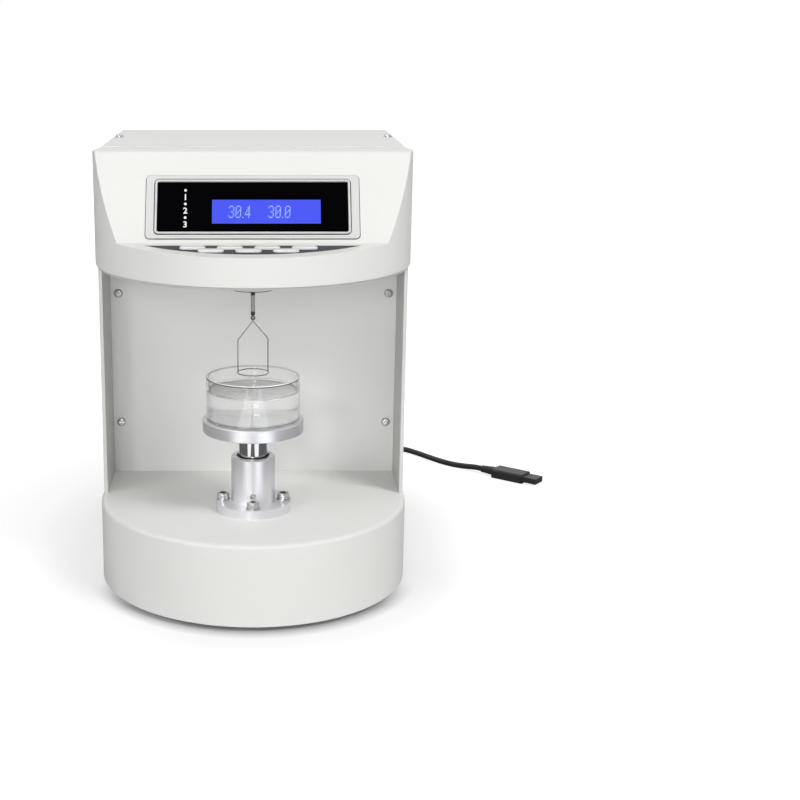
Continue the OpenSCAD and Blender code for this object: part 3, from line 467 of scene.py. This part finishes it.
def grainLook(name, colour, rough, grain, depth, drift=0.03, metal=0.0, spread=0.06, gloss=0.5):
    material, shader = startLook(name, colour, metal, rough)
    point = objectPoint(material)
    fine = noiseAt(material, point, grain, 3)
    broad = ranged(material, noiseAt(material, point, 60, 2), 0, 1)
    wire(material, mixed(material, broad, colour, shaded(colour, 1 - drift)), shader.inputs["Base Color"])
    wire(material, ranged(material, fine, rough - spread, rough + spread), shader.inputs["Roughness"])
    bumped(material, shader, fine, depth)
    shader.inputs["Specular IOR Level"].default_value = gloss
    return material


# Turning marks run round the stage's axis, whichever way the surface faces
def turnedLook(name, colour, rough, pitch=0.35, depth=0.004, metal=1.0):
    material, shader = startLook(name, colour, metal, rough)
    ways = split(material, objectPoint(material, (0, places["stageY"], 0)))
    rings = combined(material, lengthOf(material, ways["X"], ways["Y"]), ways["Z"])
    marks = noiseAt(material, rings, pitch, 2, 0.7)
    broad = noiseAt(material, rings, 9, 1)
    lighter = shaded(colour, 1.06)
    wire(material, mixed(material, ranged(material, marks, 0, 1), colour, lighter), shader.inputs["Base Color"])
    wire(material, ranged(material, broad, rough - 0.01, rough + 0.01), shader.inputs["Roughness"])
    bumped(material, shader, marks, depth)
    return material


def brushedLook(name, colour, rough, stretch):
    material, shader = startLook(name, colour, 1.0, rough)
    strokes = noiseAt(material, objectPoint(material, scale=stretch), 0.5, 2, 0.6)
    darker = shaded(colour, 0.9)
    wire(material, mixed(material, ranged(material, strokes, 0, 1), colour, darker), shader.inputs["Base Color"])
    wire(material, ranged(material, strokes, rough - 0.05, rough + 0.08), shader.inputs["Roughness"])
    bumped(material, shader, strokes, 0.006)
    return material


def clearLook(name, colour, index, rough, ripple, depth, clear=1.0):
    material, shader = startLook(name, colour, 0.0, rough)
    shader.inputs["Transmission Weight"].default_value = clear
    shader.inputs["IOR"].default_value = index
    bumped(material, shader, noiseAt(material, objectPoint(material), ripple, 1), depth)
    return material


def glowLook(name, colour, strength, base):
    material, shader = startLook(name, base, 0.0, 0.3)
    shader.inputs["Emission Color"].default_value = (*colour, 1)
    shader.inputs["Specular IOR Level"].default_value = 0.1
    glow = noiseAt(material, objectPoint(material), 14, 1)
    wire(material, ranged(material, glow, strength * 0.97, strength * 1.03), shader.inputs["Emission Strength"])
    bumped(material, shader, noiseAt(material, objectPoint(material), 0.4, 1), 0.002)
    return material


# One paint in two shades, standing in for light and shade: outside beyond this distance along the axis, inside
# nearer
def panelLook(name, outside, inside, half, axis="X"):
    material = grainLook(name, outside, 0.42, 0.9, 0.010, 0.015)
    shader = material.node_tree.nodes["Principled BSDF"]
    across = mathOf(material, "ABSOLUTE", split(material, objectPoint(material))[axis])
    edge = ranged(material, across, 0, 1, (half + 0.08) / 1000, (half + 0.2) / 1000)
    wire(material, mixed(material, edge, inside, outside), shader.inputs["Base Color"])
    return material


def boardLook(name, colour):
    material, shader = startLook(name, colour, 0.0, 0.4)
    point = objectPoint(material)
    tracks = addNode(material, "ShaderNodeTexBrick")
    tracks.inputs["Scale"].default_value = 160
    tracks.inputs["Color1"].default_value = (*colour, 1)
    tracks.inputs["Color2"].default_value = (colour[0] * 0.8, colour[1] * 0.85, colour[2] * 0.8, 1)
    tracks.inputs["Mortar"].default_value = (colour[0] * 1.5, colour[1] * 1.3, colour[2] * 1.4, 1)
    wire(material, point, tracks.inputs["Vector"])
    wire(material, tracks.outputs["Color"], shader.inputs["Base Color"])
    wire(material, ranged(material, noiseAt(material, point, 3), 0.35, 0.5), shader.inputs["Roughness"])
    return material


looks = {
    "white_paint": grainLook("whitePowderCoat", (0.73, 0.73, 0.71), 0.42, 0.9, 0.010, 0.015),
    # The chamber's paint is lighter than the casing's white: painted light on the dim chamber walls
    "inner_paint": grainLook("chamberCoatPaintedLight", (0.875, 0.88, 0.86), 0.46, 0.9, 0.010, 0.02),
    "white_plastic": grainLook("whiteMoulding", (0.63, 0.63, 0.62), 0.34, 0.5, 0.004, 0.01),
    "plate_steel": brushedLook("zincedSteel", (0.55, 0.56, 0.57), 0.38, (1, 14, 1)),
    "foot_rubber": grainLook("footRubber", (0.025, 0.025, 0.025), 0.75, 0.4, 0.02),
    "screw_steel": grainLook("brightScrew", (0.58, 0.58, 0.58), 0.24, 0.6, 0.004, 0.1, 1.0),
    "window_black": grainLook("blackWindow", (0.0015, 0.0015, 0.002), 0.3, 3, 0.001, 0.1, spread=0.03, gloss=0.0),
    "screen_blue": glowLook("bluePanel", (0.071, 0.098, 0.93), 0.95, (0.005, 0.006, 0.03)),
    "lamp_clear": glowLook("litLamp", (1, 1, 1), 0.78, (0.2, 0.2, 0.2)),
    "board_green": boardLook("circuitBoard", (0.02, 0.12, 0.05)),
    "bed_grey": grainLook("keyBedGrey", (0.055, 0.058, 0.06), 0.5, 0.4, 0.006, gloss=0.12),
    "key_silver": grainLook("silverKey", (0.74, 0.74, 0.74), 0.34, 0.35, 0.003, 0.03, 0.1),
    "turned_aluminium": turnedLook("turnedAluminium", (0.80, 0.80, 0.825), 0.36, metal=0.85),
    "bush_bronze": turnedLook("bronzeBush", (0.16, 0.11, 0.06), 0.35),
    "coil_copper": grainLook("copperWinding", (0.55, 0.22, 0.08), 0.35, 0.3, 0.05, 0.15, 0.8),
    "magnet_black": grainLook("magnetIron", (0.03, 0.03, 0.032), 0.45, 0.6, 0.01, 0.1, 0.4),
    "rod_chrome": turnedLook("chromedRod", (0.34, 0.34, 0.345), 0.06, 0.6, 0.0004),
    "ring_platinum": grainLook("platinumWire", (0.26, 0.255, 0.245), 0.25, 0.5, 0.002, 0.1, 1.0),
    "belt_black": grainLook("beltRubber", (0.02, 0.02, 0.02), 0.7, 0.5, 0.02),
    "motor_black": grainLook("motorBlack", (0.03, 0.03, 0.033), 0.45, 0.7, 0.01, 0.1, 0.3),
    "dish_glass": clearLook("dishGlass", (1.0, 1.0, 1.0), 1.47, 0.0, 10, 0.09),
    "socket_steel": brushedLook("tinnedShell", (0.6, 0.6, 0.61), 0.3, (14, 1, 1)),
    "black_plastic": grainLook("blackMoulding", (0.018, 0.018, 0.02), 0.42, 0.35, 0.008),
    "cord_black": grainLook("cordJacket", (0.014, 0.014, 0.016), 0.48, 0.5, 0.006),
}
# The water is partly milky, a painted lightening of what is seen through it
waterLook = clearLook("dishWater", (1.0, 1.0, 1.0), 1.333, 0.0, 9, 0.3, 0.86)
# Grey and half clear: painted shade on the water's surface
waterShadeLook = clearLook("waterShadeFilm", (0.66, 0.66, 0.65), 1.4, 0.03, 7, 1.2, 0.45)
# Whitish and half clear: a painted highlight along the dish's rim
rimHighlightLook = clearLook("rimPaintedHighlight", (0.95, 0.95, 0.95), 1.47, 0.12, 9, 0.004, 0.35)
digitLook = glowLook("paleDigits", (0.36, 0.50, 1.0), 1.0, (0.02, 0.03, 0.06))
# Dark stand-in for shade, worn by thin pieces put where shade falls: painted shade
shadeStandInLook = grainLook("paintedShadeDark", (0.05, 0.05, 0.052), 0.6, 0.5, 0.002, gloss=0.1)
printLook = grainLook("whitePrint", (0.85, 0.85, 0.85), 0.5, 0.5, 0.001)
hangerLook = grainLook("polishedHanger", (0.72, 0.72, 0.715), 0.16, 0.5, 0.001, 0.05, 1.0)
# The side panels' inner faces are darker: painted shade inside the chamber
panelPaintInnerShade = panelLook("panelCoatInnerShade", (0.67, 0.67, 0.655), (0.50, 0.505, 0.49), places["chamberHalf"])
ownLooks = {
    "side_panel_left": panelPaintInnerShade,
    "side_panel_right": panelPaintInnerShade,
    # The base cover's top, the chamber's floor, is painted lighter than its front: painted light
    "base_cover": panelLook("deckCoatLitTop", (0.82, 0.82, 0.80), (0.73, 0.73, 0.71), places["deckZ"], "Z"),
    "head_floor": grainLook("lipPowderCoat", (0.48, 0.48, 0.465), 0.5, 0.9, 0.01, 0.02),
}
print("materials:", len(looks), "slots dressed")

# Every node starts with its slot's finish; most are then replaced by a dressed copy
for node, item in nodes.items():
    item.data.materials.clear()
    item.data.materials.append(looks[slotOf[node]])

# Cord and its plugs

cordPiece, cordExit, cordLength = makeCord()
cordPiece.data.materials.append(looks["cord_black"])
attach(cordPiece, "chassis")
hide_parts("cord_rear", "cord_coil", "cord_front")
rearPlug = dressNode("rear_plug", 0.6, 3)
frontPlug = dressNode("front_plug", 0.6, 3)
print("cord:", round(cordLength, 3), "m")

# Casing, with the width of each piece's edges

casing = {
    "base_cover": 0.35, "side_panel_left": 0.5, "side_panel_right": 0.5, "chamber_wall": 0.3,
    "head_shell": 0.35, "head_floor": 0.3, "top_cover": 0.6, "rear_panel": 0.4, "base_plate": 0.3,
    "rubber_feet": 0.5, "display_bezel": 0.5, "hook_collar": 0.6, "keypad_bed": 0.15,
}
collarLip = {"radius": 13.8, "z": 198.0, "wire": 0.25}


# A thin dark ring along the hook collar's lower edge
def makeCollarLip():
    outline = arcSpots((collarLip["radius"], collarLip["z"]), collarLip["wire"], 0, 360, 12)
    piece = lathe("collarLip", outline, (0, places["stageY"], 0))
    flatShading(piece, 60)
    return wear(piece, looks["magnet_black"], "chassis")


dressAll(casing, 3)
makeCollarLip()
print("casing: done")

# Screws

panScrew = {"radius": 3.0, "height": 1.9, "dome": 1.35, "slot": 2.9, "bar": 0.62, "deep": 0.9}
socketScrew = {
    "radius": 3.8, "height": 3.6, "dome": 1.0, "socket": 2.3, "deep": 2.2,
    "washer": 4.5, "thick": 0.8, "washerEdge": 0.2, "circle": 19.25, "z": 61.0,
}
socketShade = {"below": 0.5, "thick": 0.4, "play": 0.02, "edge": 0.08}
screwSpots = {
    "wall_screws": [(x, places["wallY"], z, "front") for x in (-91, 91) for z in (90.5, 180.4)],
    "cover_screws": [(x, places["coverY"], 279.0, "up") for x in (-94.4, 94.4)]
    + [(x, places["backY"], z, "back") for x in (-91, 91) for z in (75, 195)],
    "flange_screws": [
        (x, y, socketScrew["z"], "up")
        for x, y in arcSpots((0, places["stageY"]), socketScrew["circle"], 0, 270, 3)
    ],
}


def cutWith(piece, tool):
    trim = piece.modifiers.new("recess", "BOOLEAN")
    trim.object = tool
    trim.operation = "DIFFERENCE"
    trim.solver = "EXACT"
    applyLast(piece)
    bpy.data.objects.remove(tool)


def domedHead(screw, base):
    head = settle(addCylinder(screw["radius"], base, base + screw["height"]), "screwHead")
    roundFace(head, looksUp, screw["dome"], 7)
    return head


def makePanScrew():
    head = domedHead(panScrew, 0)
    for turn in (0, 90):
        bpy.ops.mesh.primitive_cube_add(size=1, location=mm(0, 0, panScrew["height"]))
        bar = bpy.context.object
        bar.scale = mm(panScrew["slot"], panScrew["bar"], 2 * panScrew["deep"])
        bar.rotation_euler = (0, 0, math.radians(turn))
        cutWith(head, settle(bar, "recessBar"))
    return head


def makeSocketScrew():
    top = socketScrew["thick"] + socketScrew["height"]
    head = domedHead(socketScrew, socketScrew["thick"])
    hexTool = addCylinder(socketScrew["socket"], top - socketScrew["deep"], top + socketScrew["deep"], 6)
    cutWith(head, settle(hexTool, "hexTool"))
    washer = settle(addCylinder(socketScrew["washer"], 0, socketScrew["thick"]), "washer")
    softEdges(washer, socketScrew["washerEdge"])
    return joinInto("socketScrew", [head, washer])


# Dark floors in the screws' sockets: painted shade
def makeSocketShade():
    fills = []
    for x, y, z, way in screwSpots["flange_screws"]:
        top = z + socketScrew["thick"] + socketScrew["height"] - socketShade["below"]
        radius = socketScrew["socket"] - socketShade["play"]
        fills.append(addCylinder(radius, top - socketShade["thick"], top, 6, (x, y)))
        softEdges(fills[-1], socketShade["edge"])
    return joinInto("socketShade", fills)


def placeScrews(node, master):
    turns = {"up": 0, "front": 90, "back": -90}  # degrees about the X axis
    copies = []
    for x, y, z, way in screwSpots[node]:
        copy = ownCopy(master)
        copy.location = mm(x, y, z)
        copy.rotation_euler = (math.radians(turns[way]), 0, 0)
        copies.append(settle(copy, "screwCopy"))
    piece = joinInto(node + ".heads", copies)
    flatShading(piece, 40)
    return wear(piece, looks["screw_steel"], bodyOf[node], [node])


panMaster = makePanScrew()
placeScrews("wall_screws", panMaster)
placeScrews("cover_screws", panMaster)
socketMaster = makeSocketScrew()
placeScrews("flange_screws", socketMaster)
wear(makeSocketShade(), shadeStandInLook, "chassis")
bpy.data.objects.remove(panMaster)
bpy.data.objects.remove(socketMaster)
dressNode("key_screw", 0.35, 3)
print("screws: done")

# Display

digits = {
    "text": [("30.4", -22.3), ("30.0", 1.4)],  # with the place of its left side
    "dot": (0.56, 0.78),
    "pitch": (0.68, 0.90),
    "gap": 1.2,
    "centre": (8.2, 20.2),
    "lean": 0.05,
    "out": 0.16,
}
glyphs = {
    "0": ["01110", "10001", "10001", "10011", "10101", "11001", "10001", "10001", "01110"],
    "3": ["01110", "10001", "00001", "00001", "00110", "00001", "00001", "10001", "01110"],
    "4": ["00010", "00110", "00110", "01010", "01010", "10010", "11111", "00010", "00010"],
    ".": ["0", "0", "0", "0", "0", "0", "0", "0", "1"],
}
lampDome = {"radius": 0.78, "low": 0.2, "top": 0.75, "bulge": 0.3, "left": -40.2, "up": [34.15, 25.25, 16.35]}
lampNumbers = {"size": 5.4, "bold": 0.09, "left": -40.2, "up": [27.9, 19.0, 10.1], "out": 0.43}
loops = {  # a bead round the window, and thin dark rings of painted shade in the gaps of the bead and the bezel
    "windowBead": {"size": (115.3, 33.9), "corner": 2.2, "thick": 1.1, "out": 0.85},
    "beadGapShade": {"size": (117.0, 35.6), "corner": 2.6, "thick": 0.85, "out": 0.8},
    "bezelGapShade": {"size": (127.5, 41.3), "corner": 2.6, "thick": 0.55, "out": 0.1},
}


# Turns a flat piece onto the sloping face: x across, up from the fold, out of the face
def layOnFace(piece, name, x, up, out):
    tilt = math.radians(places["faceTilt"])
    along = Vector((0, math.cos(tilt), math.sin(tilt)))
    away = Vector((0, -math.sin(tilt), math.cos(tilt)))
    fold = Vector((0, places["foldY"], places["foldZ"]))
    piece.rotation_euler = (tilt, 0, 0)
    piece.location = (fold + Vector((x, 0, 0)) + along * up + away * out) / 1000
    return settle(piece, name)


def digitSpots():
    wide, high = digits["pitch"]
    spots = []
    for text, pen in digits["text"]:
        for sign in text:
            rows = glyphs[sign]
            for down, row in enumerate(rows):
                up = (4 - down) * high
                spots += [(pen + i * wide + up * digits["lean"], up) for i, dot in enumerate(row) if dot == "1"]
            pen += (len(rows[0]) + digits["gap"]) * wide
    return spots


def makeDigits():
    dot = addPlate("digitDot", digits["dot"])
    copies = []
    for x, up in digitSpots():
        copy = ownCopy(dot)
        copy.location = mm(digits["centre"][0] + x, digits["centre"][1] + up, digits["out"])
        copies.append(copy)
    bpy.data.objects.remove(dot)
    return layOnFace(joinInto("lcdDigits", copies), "lcdDigits", 0, 0, 0)


def makeLamps():
    radius, bulge = lampDome["radius"], lampDome["bulge"]
    edge = lampDome["top"] - bulge
    outline = [(0, lampDome["low"]), (radius, lampDome["low"]), (radius, edge)]
    outline += [(radius * x, edge + bulge * z) for x, z in arcSpots((0, 0), 1, 18, 72, 3)]
    outline += [(0, lampDome["top"])]
    domes = []
    for up in lampDome["up"]:
        dome = lathe("lampDome", outline, (0, 0, 0), 32)
        domes.append(layOnFace(dome, "lampDome", lampDome["left"], up, 0))
    piece = joinInto("lampDomes", domes)
    flatShading(piece, 40)
    return piece


def makeLampNumbers():
    made = []
    for index, up in enumerate(lampNumbers["up"]):
        bpy.ops.object.text_add()
        text = bpy.context.object
        text.data.body = str(index + 1)
        text.data.size = lampNumbers["size"] / 1000
        text.data.offset = lampNumbers["bold"] / 1000
        text.data.align_x = "CENTER"
        bpy.ops.object.convert(target="MESH")
        made.append(layOnFace(text, "lampNumber", lampNumbers["left"], up, lampNumbers["out"]))
    return joinInto("lampNumbers", made)


def makeLoop(name):
    loop = loops[name]
    piece = roundedPlate(name, loop["size"], loop["corner"], 8)
    bpy.ops.mesh.delete(type="ONLY_FACE")
    leaveEdit()
    bpy.ops.object.convert(target="CURVE")
    piece.data.bevel_depth = loop["thick"] / 2000
    piece.data.bevel_resolution = 3
    bpy.ops.object.convert(target="MESH")
    piece = layOnFace(bpy.context.object, name, 0, places["windowUp"], loop["out"])
    outward(piece)
    flatShading(piece, 50)
    return piece


dressNode("display_window", 0.1)
screen = dressNode("lcd_module", 0.1)
screen.visible_glossy = screen.visible_diffuse = False  # no blue on the key ledge
wear(makeDigits(), digitLook, "chassis")
wear(makeLamps(), looks["lamp_clear"], "chassis", ["indicator_leds"])
wear(makeLampNumbers(), printLook, "chassis")
for name in loops:
    look = looks["white_plastic"] if name == "windowBead" else shadeStandInLook
    wear(makeLoop(name), look, "chassis")
print("display: done")

# Keys

keyShape = {"size": (15.3, 5.5), "corner": 2.65, "tall": 1.6, "lower": 0.28, "back": 0.35, "round": 1.2}


# A cushion-shaped cap on each key's place, in the ledge's own directions
def makeKey(node):
    tilt = math.radians(places["ledgeTilt"])
    along = Vector((0, math.cos(tilt), math.sin(tilt)))
    up = Vector((0, -math.sin(tilt), math.cos(tilt)))
    spots = [vertex.co for vertex in nodes[node].data.vertices]
    centre = Vector()
    for way in (Vector((1, 0, 0)), along):
        reach = [spot.dot(way) for spot in spots]
        centre += way * (min(reach) + max(reach)) / 2
    centre += up * (max(spot.dot(up) for spot in spots) - (keyShape["tall"] + keyShape["lower"]) / 1000)
    centre += along * keyShape["back"] / 1000
    piece = roundedPlate(node + ".cap", keyShape["size"], keyShape["corner"], 10)
    bpy.ops.mesh.extrude_region_move(TRANSFORM_OT_translate={"value": (0, 0, keyShape["tall"] / 1000)})
    leaveEdit()
    outward(piece)
    roundFace(piece, looksUp, keyShape["round"], 6)
    piece.rotation_euler = (tilt, 0, 0)
    piece.location = centre
    settle(piece, node + ".cap")
    flatShading(piece, 40)
    return wear(piece, looks["key_silver"], bodyOf[node], [node])


for index in range(1, 8):
    makeKey("key_%d" % index)
print("keys: done")

# Stage, dish and water

stage = {"stage_sleeve": 0.35, "platform": 0.2, "lift_rod": 0.15}
dish = {
    "radius": 29.5, "height": 27.4, "wall": 1.6, "floor": 1.1, "foot": 0.35, "fillet": 1.5,
    "under": [(0, 0.4), (26.5, 0.25), (28.1, 0)], "steps": 160,
}
# Two thin rings in the dish's rim: rimShine, whitish, is a painted highlight; rimShade, dark, is a painted shade
# line nearer its outer edge
rims = {
    "rimShine": {"in": 1.05, "down": 0.5, "thick": 0.46},
    "rimShade": {"in": 0.3, "down": 0.75, "thick": 0.27},
}
water = {
    "radius": 28.0, "low": 116.15, "top": 134.4, "corner": 1.5,
    "edge": 1.6, "sinks": [0.55, 0.308, 0.165, 0.077],  # the surface climbs the glass in four steps
}
# A thin grey disc just under the water's surface, painting shade on it
waterShadeDisc = {"z": 133.0, "outline": [(0, 0), (27, 0), (27.1, 0.05), (27, 0.1), (0, 0.1)]}


def wearClear(piece, look, stands=(), angle=40):
    flatShading(piece, angle)
    piece.visible_shadow = False  # clear pieces keep the platform lit
    return wear(piece, look, "dish", stands)


def makeDish():
    outer, inner, foot, fillet = dish["radius"], dish["radius"] - dish["wall"], dish["foot"], dish["fillet"]
    lip = dish["wall"] / 2
    outline = dish["under"] + arcSpots((outer - foot, foot), foot, -90, 0)
    outline += arcSpots((outer - lip, dish["height"] - lip), lip, 0, 180, 10)
    outline += arcSpots((inner - fillet, dish["floor"] + fillet), fillet, 0, -90)
    outline += [(0, dish["floor"])]
    return lathe("glassDish", outline, (0, places["stageY"], places["dishZ"]), dish["steps"])


def makeRim(name):
    rim = rims[name]
    outline = arcSpots((dish["radius"] - rim["in"], dish["height"] - rim["down"]), rim["thick"], 0, 360, 16)
    return lathe(name, outline, (0, places["stageY"], places["dishZ"]), dish["steps"])


def makeWater():
    piece = addCylinder(water["radius"], water["low"], water["top"], 128, (0, places["stageY"]))
    settle(piece, "dishWater")
    selectFaces(piece, looksUp)
    for sink in water["sinks"]:
        bpy.ops.mesh.inset(thickness=water["edge"] / 4000)
        bpy.ops.transform.translate(value=(0, 0, -sink / 1000))
    leaveEdit()
    roundFace(piece, looksDown, water["corner"], 5)
    return piece


dressAll(stage, 4)
wearClear(makeDish(), looks["dish_glass"], ["sample_dish"])
wearClear(makeRim("rimShine"), rimHighlightLook, angle=60)
wearClear(makeRim("rimShade"), shadeStandInLook, angle=60)
wearClear(makeWater(), waterLook)
wearClear(lathe("waterShadeDisc", waterShadeDisc["outline"], (0, places["stageY"], waterShadeDisc["z"]), 128), waterShadeLook)
print("stage: done")

# Ring and hanger

ring = {
    "mean": 19.5, "wire": 0.64, "z": 144.6, "legs": 21.4, "turn": 16, "eye": 0.8, "eyeWire": 0.3, "play": 0.03,
    "shoulder": [(0, -0.8), (0.18, 0), (0.7, 0.75)],
}
hook = {
    "ring": 1.0, "wire": 0.42, "foot": 181.3, "rod": 1.2, "cut": 184, "cutEdge": 0.1, "overlap": 0.5,
    "ferrules": [(-0.4, 2.3), (12.1, 14.7)],  # heights from the foot
    "ferruleRadius": 1.32, "ferruleEdge": 0.45,
}


def makeStirrup(apex):
    half = ring["mean"] / 2
    top = ring["z"] + ring["legs"]
    spots = [(-half, 0, ring["z"])] + [(x - half, 0, top + z) for x, z in ring["shoulder"]]
    spots += [(0, 0, apex)] + [(-x, y, z) for x, y, z in reversed(spots)]
    piece = curvePiece("stirrup", "POLY", [mm(*spot) for spot in spots])
    piece.data.bevel_depth = ring["wire"] / 2000
    piece.data.bevel_resolution = 4
    pickOnly(piece)
    bpy.ops.object.convert(target="MESH")
    return piece


# The eye hangs in the hook's ring
def makeRing():
    eyeZ = places["hookZ"] + hook["wire"] + ring["eyeWire"] + ring["play"] - ring["eye"]
    circle = addTorus(ring["mean"] / 2, ring["wire"] / 2, (0, 0, ring["z"]), (96, 16))
    eye = addTorus(ring["eye"], ring["eyeWire"], (0, 0, eyeZ), (32, 12), (0, 90, -ring["turn"]))
    piece = joinInto("platinumRing", [circle, eye, makeStirrup(eyeZ - ring["eye"])])
    piece.rotation_euler = (0, 0, math.radians(ring["turn"]))
    piece.location = mm(0, places["stageY"], 0)
    settle(piece, "platinumRing")
    outward(piece)
    flatShading(piece, 50)
    return piece


# The rod keeps its upper end; a thinner stub takes the place of its foot
def makeHanger():
    rod = cadCopy("hanger_rod", "hangerUpper")
    editAll(rod)
    bpy.ops.mesh.bisect(plane_co=mm(0, 0, hook["cut"]), plane_no=(0, 0, 1), use_fill=True, clear_inner=True)
    leaveEdit()
    softEdges(rod, hook["cutEdge"])
    stub = addCylinder(hook["rod"], hook["foot"], hook["cut"] + hook["overlap"], 48, (0, places["stageY"]))
    piece = joinInto("hangerRod", [rod, stub])
    flatShading(piece)
    return piece


def makeHook():
    centre = (0, places["stageY"], places["hookZ"] + hook["ring"])
    parts = [addTorus(hook["ring"], hook["wire"], centre, (48, 14), (90, 0, 0))]
    for low, high in hook["ferrules"]:
        ends = (hook["foot"] + low, hook["foot"] + high)
        parts.append(addCylinder(hook["ferruleRadius"], *ends, 40, (0, places["stageY"])))
        softEdges(parts[-1], hook["ferruleEdge"], 4)
    piece = joinInto("hangerHook", parts)
    flatShading(piece)
    return piece


wear(makeRing(), looks["ring_platinum"], "ring", ["platinum_ring"])
wear(makeHanger(), hangerLook, "hanger", ["hanger_rod"])
wear(makeHook(), looks["black_plastic"], "hanger")
print("ring: done")

# Back

dressAll({"mains_inlet": 0.4, "power_rocker": 0.4, "data_socket": 0.2}, 2)
print("back: done")

# Floor: the camera sees a white one that keeps the shadow and has painted shade round the base, glossy rays a
# darker one, a painted darkening of reflections, and other rays a plain pale one

floorShades = {
    "size": 16, "plain": 0.85, "mirrored": 0.3, "seen": 0.42,
    "depth": 91,  # millimetres from the arc's centre to where the shade ends behind
    "near": (0.2, 0, 0.098, 0.16),  # painted shade round the base, by distance in metres
    "nearLeft": (0.5, 1, -0.1, -0.03),  # less of it at the left
    "contact": (0.4, 0, 0.1, 0.11),  # painted shadow, a dark line under the base's front
    "contactFront": (1, 0, -0.06, -0.02),
    "far": (0.66, 1.0, 0.12, 0.4),
}


def mattShader(material, level):
    shader = addNode(material, "ShaderNodeBsdfDiffuse")
    shader.inputs["Color"].default_value = (level, level, level, 1)
    return shader.outputs[0]


def chosen(material, factor, first, second):
    mix = addNode(material, "ShaderNodeMixShader")
    for source, socket in zip((factor, first, second), mix.inputs):
        wire(material, source, socket)
    return mix.outputs[0]


# Distance from the base's arc in front, and from the back edge behind
def floorDistance(material, ways):
    ahead = mathOf(material, "MINIMUM", ways["Y"], 0)
    behind = mathOf(material, "SUBTRACT", ways["Y"], floorShades["depth"] / 1000)
    beyond = mathOf(material, "MAXIMUM", behind, 0)
    return lengthOf(material, ways["X"], mathOf(material, "ADD", ahead, beyond))


def floorLook():
    material = bpy.data.materials.new("paleFloor")
    material.use_nodes = True
    material.node_tree.nodes.clear()
    ways = split(material, objectPoint(material, (0, places["arcY"], 0)))
    away = floorDistance(material, ways)
    near = mathOf(
        material, "MULTIPLY", ranged(material, away, *floorShades["near"]),
        ranged(material, ways["X"], *floorShades["nearLeft"]),
    )
    contact = mathOf(
        material, "MULTIPLY", ranged(material, away, *floorShades["contact"]),
        ranged(material, ways["Y"], *floorShades["contactFront"]),
    )
    far = ranged(material, away, *floorShades["far"])
    lift = addNode(material, "ShaderNodeEmission")
    strength = mathOf(material, "SUBTRACT", far, mathOf(material, "ADD", near, contact))
    wire(material, strength, lift.inputs["Strength"])
    lifted = addNode(material, "ShaderNodeAddShader")
    wire(material, mattShader(material, floorShades["seen"]), lifted.inputs[0])
    wire(material, lift.outputs[0], lifted.inputs[1])
    ray = addNode(material, "ShaderNodeLightPath")
    plain = mattShader(material, floorShades["plain"])
    mirrored = mattShader(material, floorShades["mirrored"])
    others = chosen(material, ray.outputs["Is Glossy Ray"], plain, mirrored)
    out = addNode(material, "ShaderNodeOutputMaterial")
    wire(material, chosen(material, ray.outputs["Is Camera Ray"], others, lifted.outputs[0]), out.inputs[0])
    return material


bpy.ops.mesh.primitive_plane_add(size=floorShades["size"])
floor = bpy.context.object
floor.name = "floor"
floor.data.materials.append(floorLook())

# Lamps in metres; a strip lies on the floor, looks up, and only metal and glass see it

lampAim = (0, -0.05, 0.15)
lamps = [
    {"name": "keyLamp", "place": (1.8, -1.5, 2.6), "size": (1.2, 1.2), "power": 58.0},
    {"name": "frontLamp", "place": (-0.48, -1.50, 0.30), "size": (0.2, 0.2), "power": 2.3},
    {"name": "middleLamp", "place": (-0.12, -1.80, 0.62), "size": (0.3, 0.3), "power": 4.7},
    {"name": "fillLamp", "place": (-1.8, -1.6, 1.9), "size": (1.2, 1.2), "power": 18.0},
    {"name": "topLamp", "place": (0.0, -0.25, 2.0), "size": (1.3, 1.3), "power": 4.8},
    {"name": "leftStrip", "place": (-0.150, -0.455, 0.004), "size": (0.15, 0.34), "power": 0.38, "turn": 21},
    {"name": "rightStrip", "place": (0.150, -0.450, 0.004), "size": (0.19, 0.34), "power": 0.52, "turn": -20,
     "tint": (0.90, 0.91, 1.0)},
]
for lamp in lamps:
    aim = Vector(lampAim) - Vector(lamp["place"])
    turn = aim.to_track_quat("-Z", "Y").to_euler()
    if "turn" in lamp:
        turn = (math.radians(180), 0, math.radians(lamp["turn"]))
    bpy.ops.object.light_add(type="AREA", location=lamp["place"], rotation=turn)
    light = bpy.context.object
    light.name = lamp["name"]
    light.data.shape = "RECTANGLE"
    light.data.size, light.data.size_y = lamp["size"]
    light.data.energy = lamp["power"]
    light.data.color = lamp.get("tint", (1, 1, 1))
    light.visible_glossy = lamp["name"] != "keyLamp"
    if "turn" in lamp:
        light.visible_camera = light.visible_diffuse = light.visible_transmission = False

# Room: plain light for surfaces, white for the camera, and for gloss darker in front

room = {"diffuse": 0.27, "front": 0.62, "back": 1.0, "spread": (-0.9, 0.35), "white": 1.0}


def backdrop(world, strength):
    node = addNode(world, "ShaderNodeBackground")
    node.inputs["Color"].default_value = (1, 1, 1, 1)
    wire(world, strength, node.inputs["Strength"])
    return node.outputs[0]


def makeRoom():
    world = bpy.data.worlds.new("paleRoom")
    world.use_nodes = True
    world.node_tree.nodes.clear()
    direction = split(world, addNode(world, "ShaderNodeTexCoord").outputs["Generated"])
    shade = ranged(world, direction["Y"], room["front"], room["back"], *room["spread"])
    path = addNode(world, "ShaderNodeLightPath").outputs
    seenBy = mathOf(world, "ADD", path["Is Camera Ray"], path["Is Transmission Ray"], clamp=True)
    others = chosen(world, path["Is Glossy Ray"], backdrop(world, room["diffuse"]), backdrop(world, shade))
    out = addNode(world, "ShaderNodeOutputWorld")
    wire(world, chosen(world, seenBy, others, backdrop(world, room["white"])), out.inputs[0])
    return world


bpy.context.scene.world = makeRoom()
print("light: done")
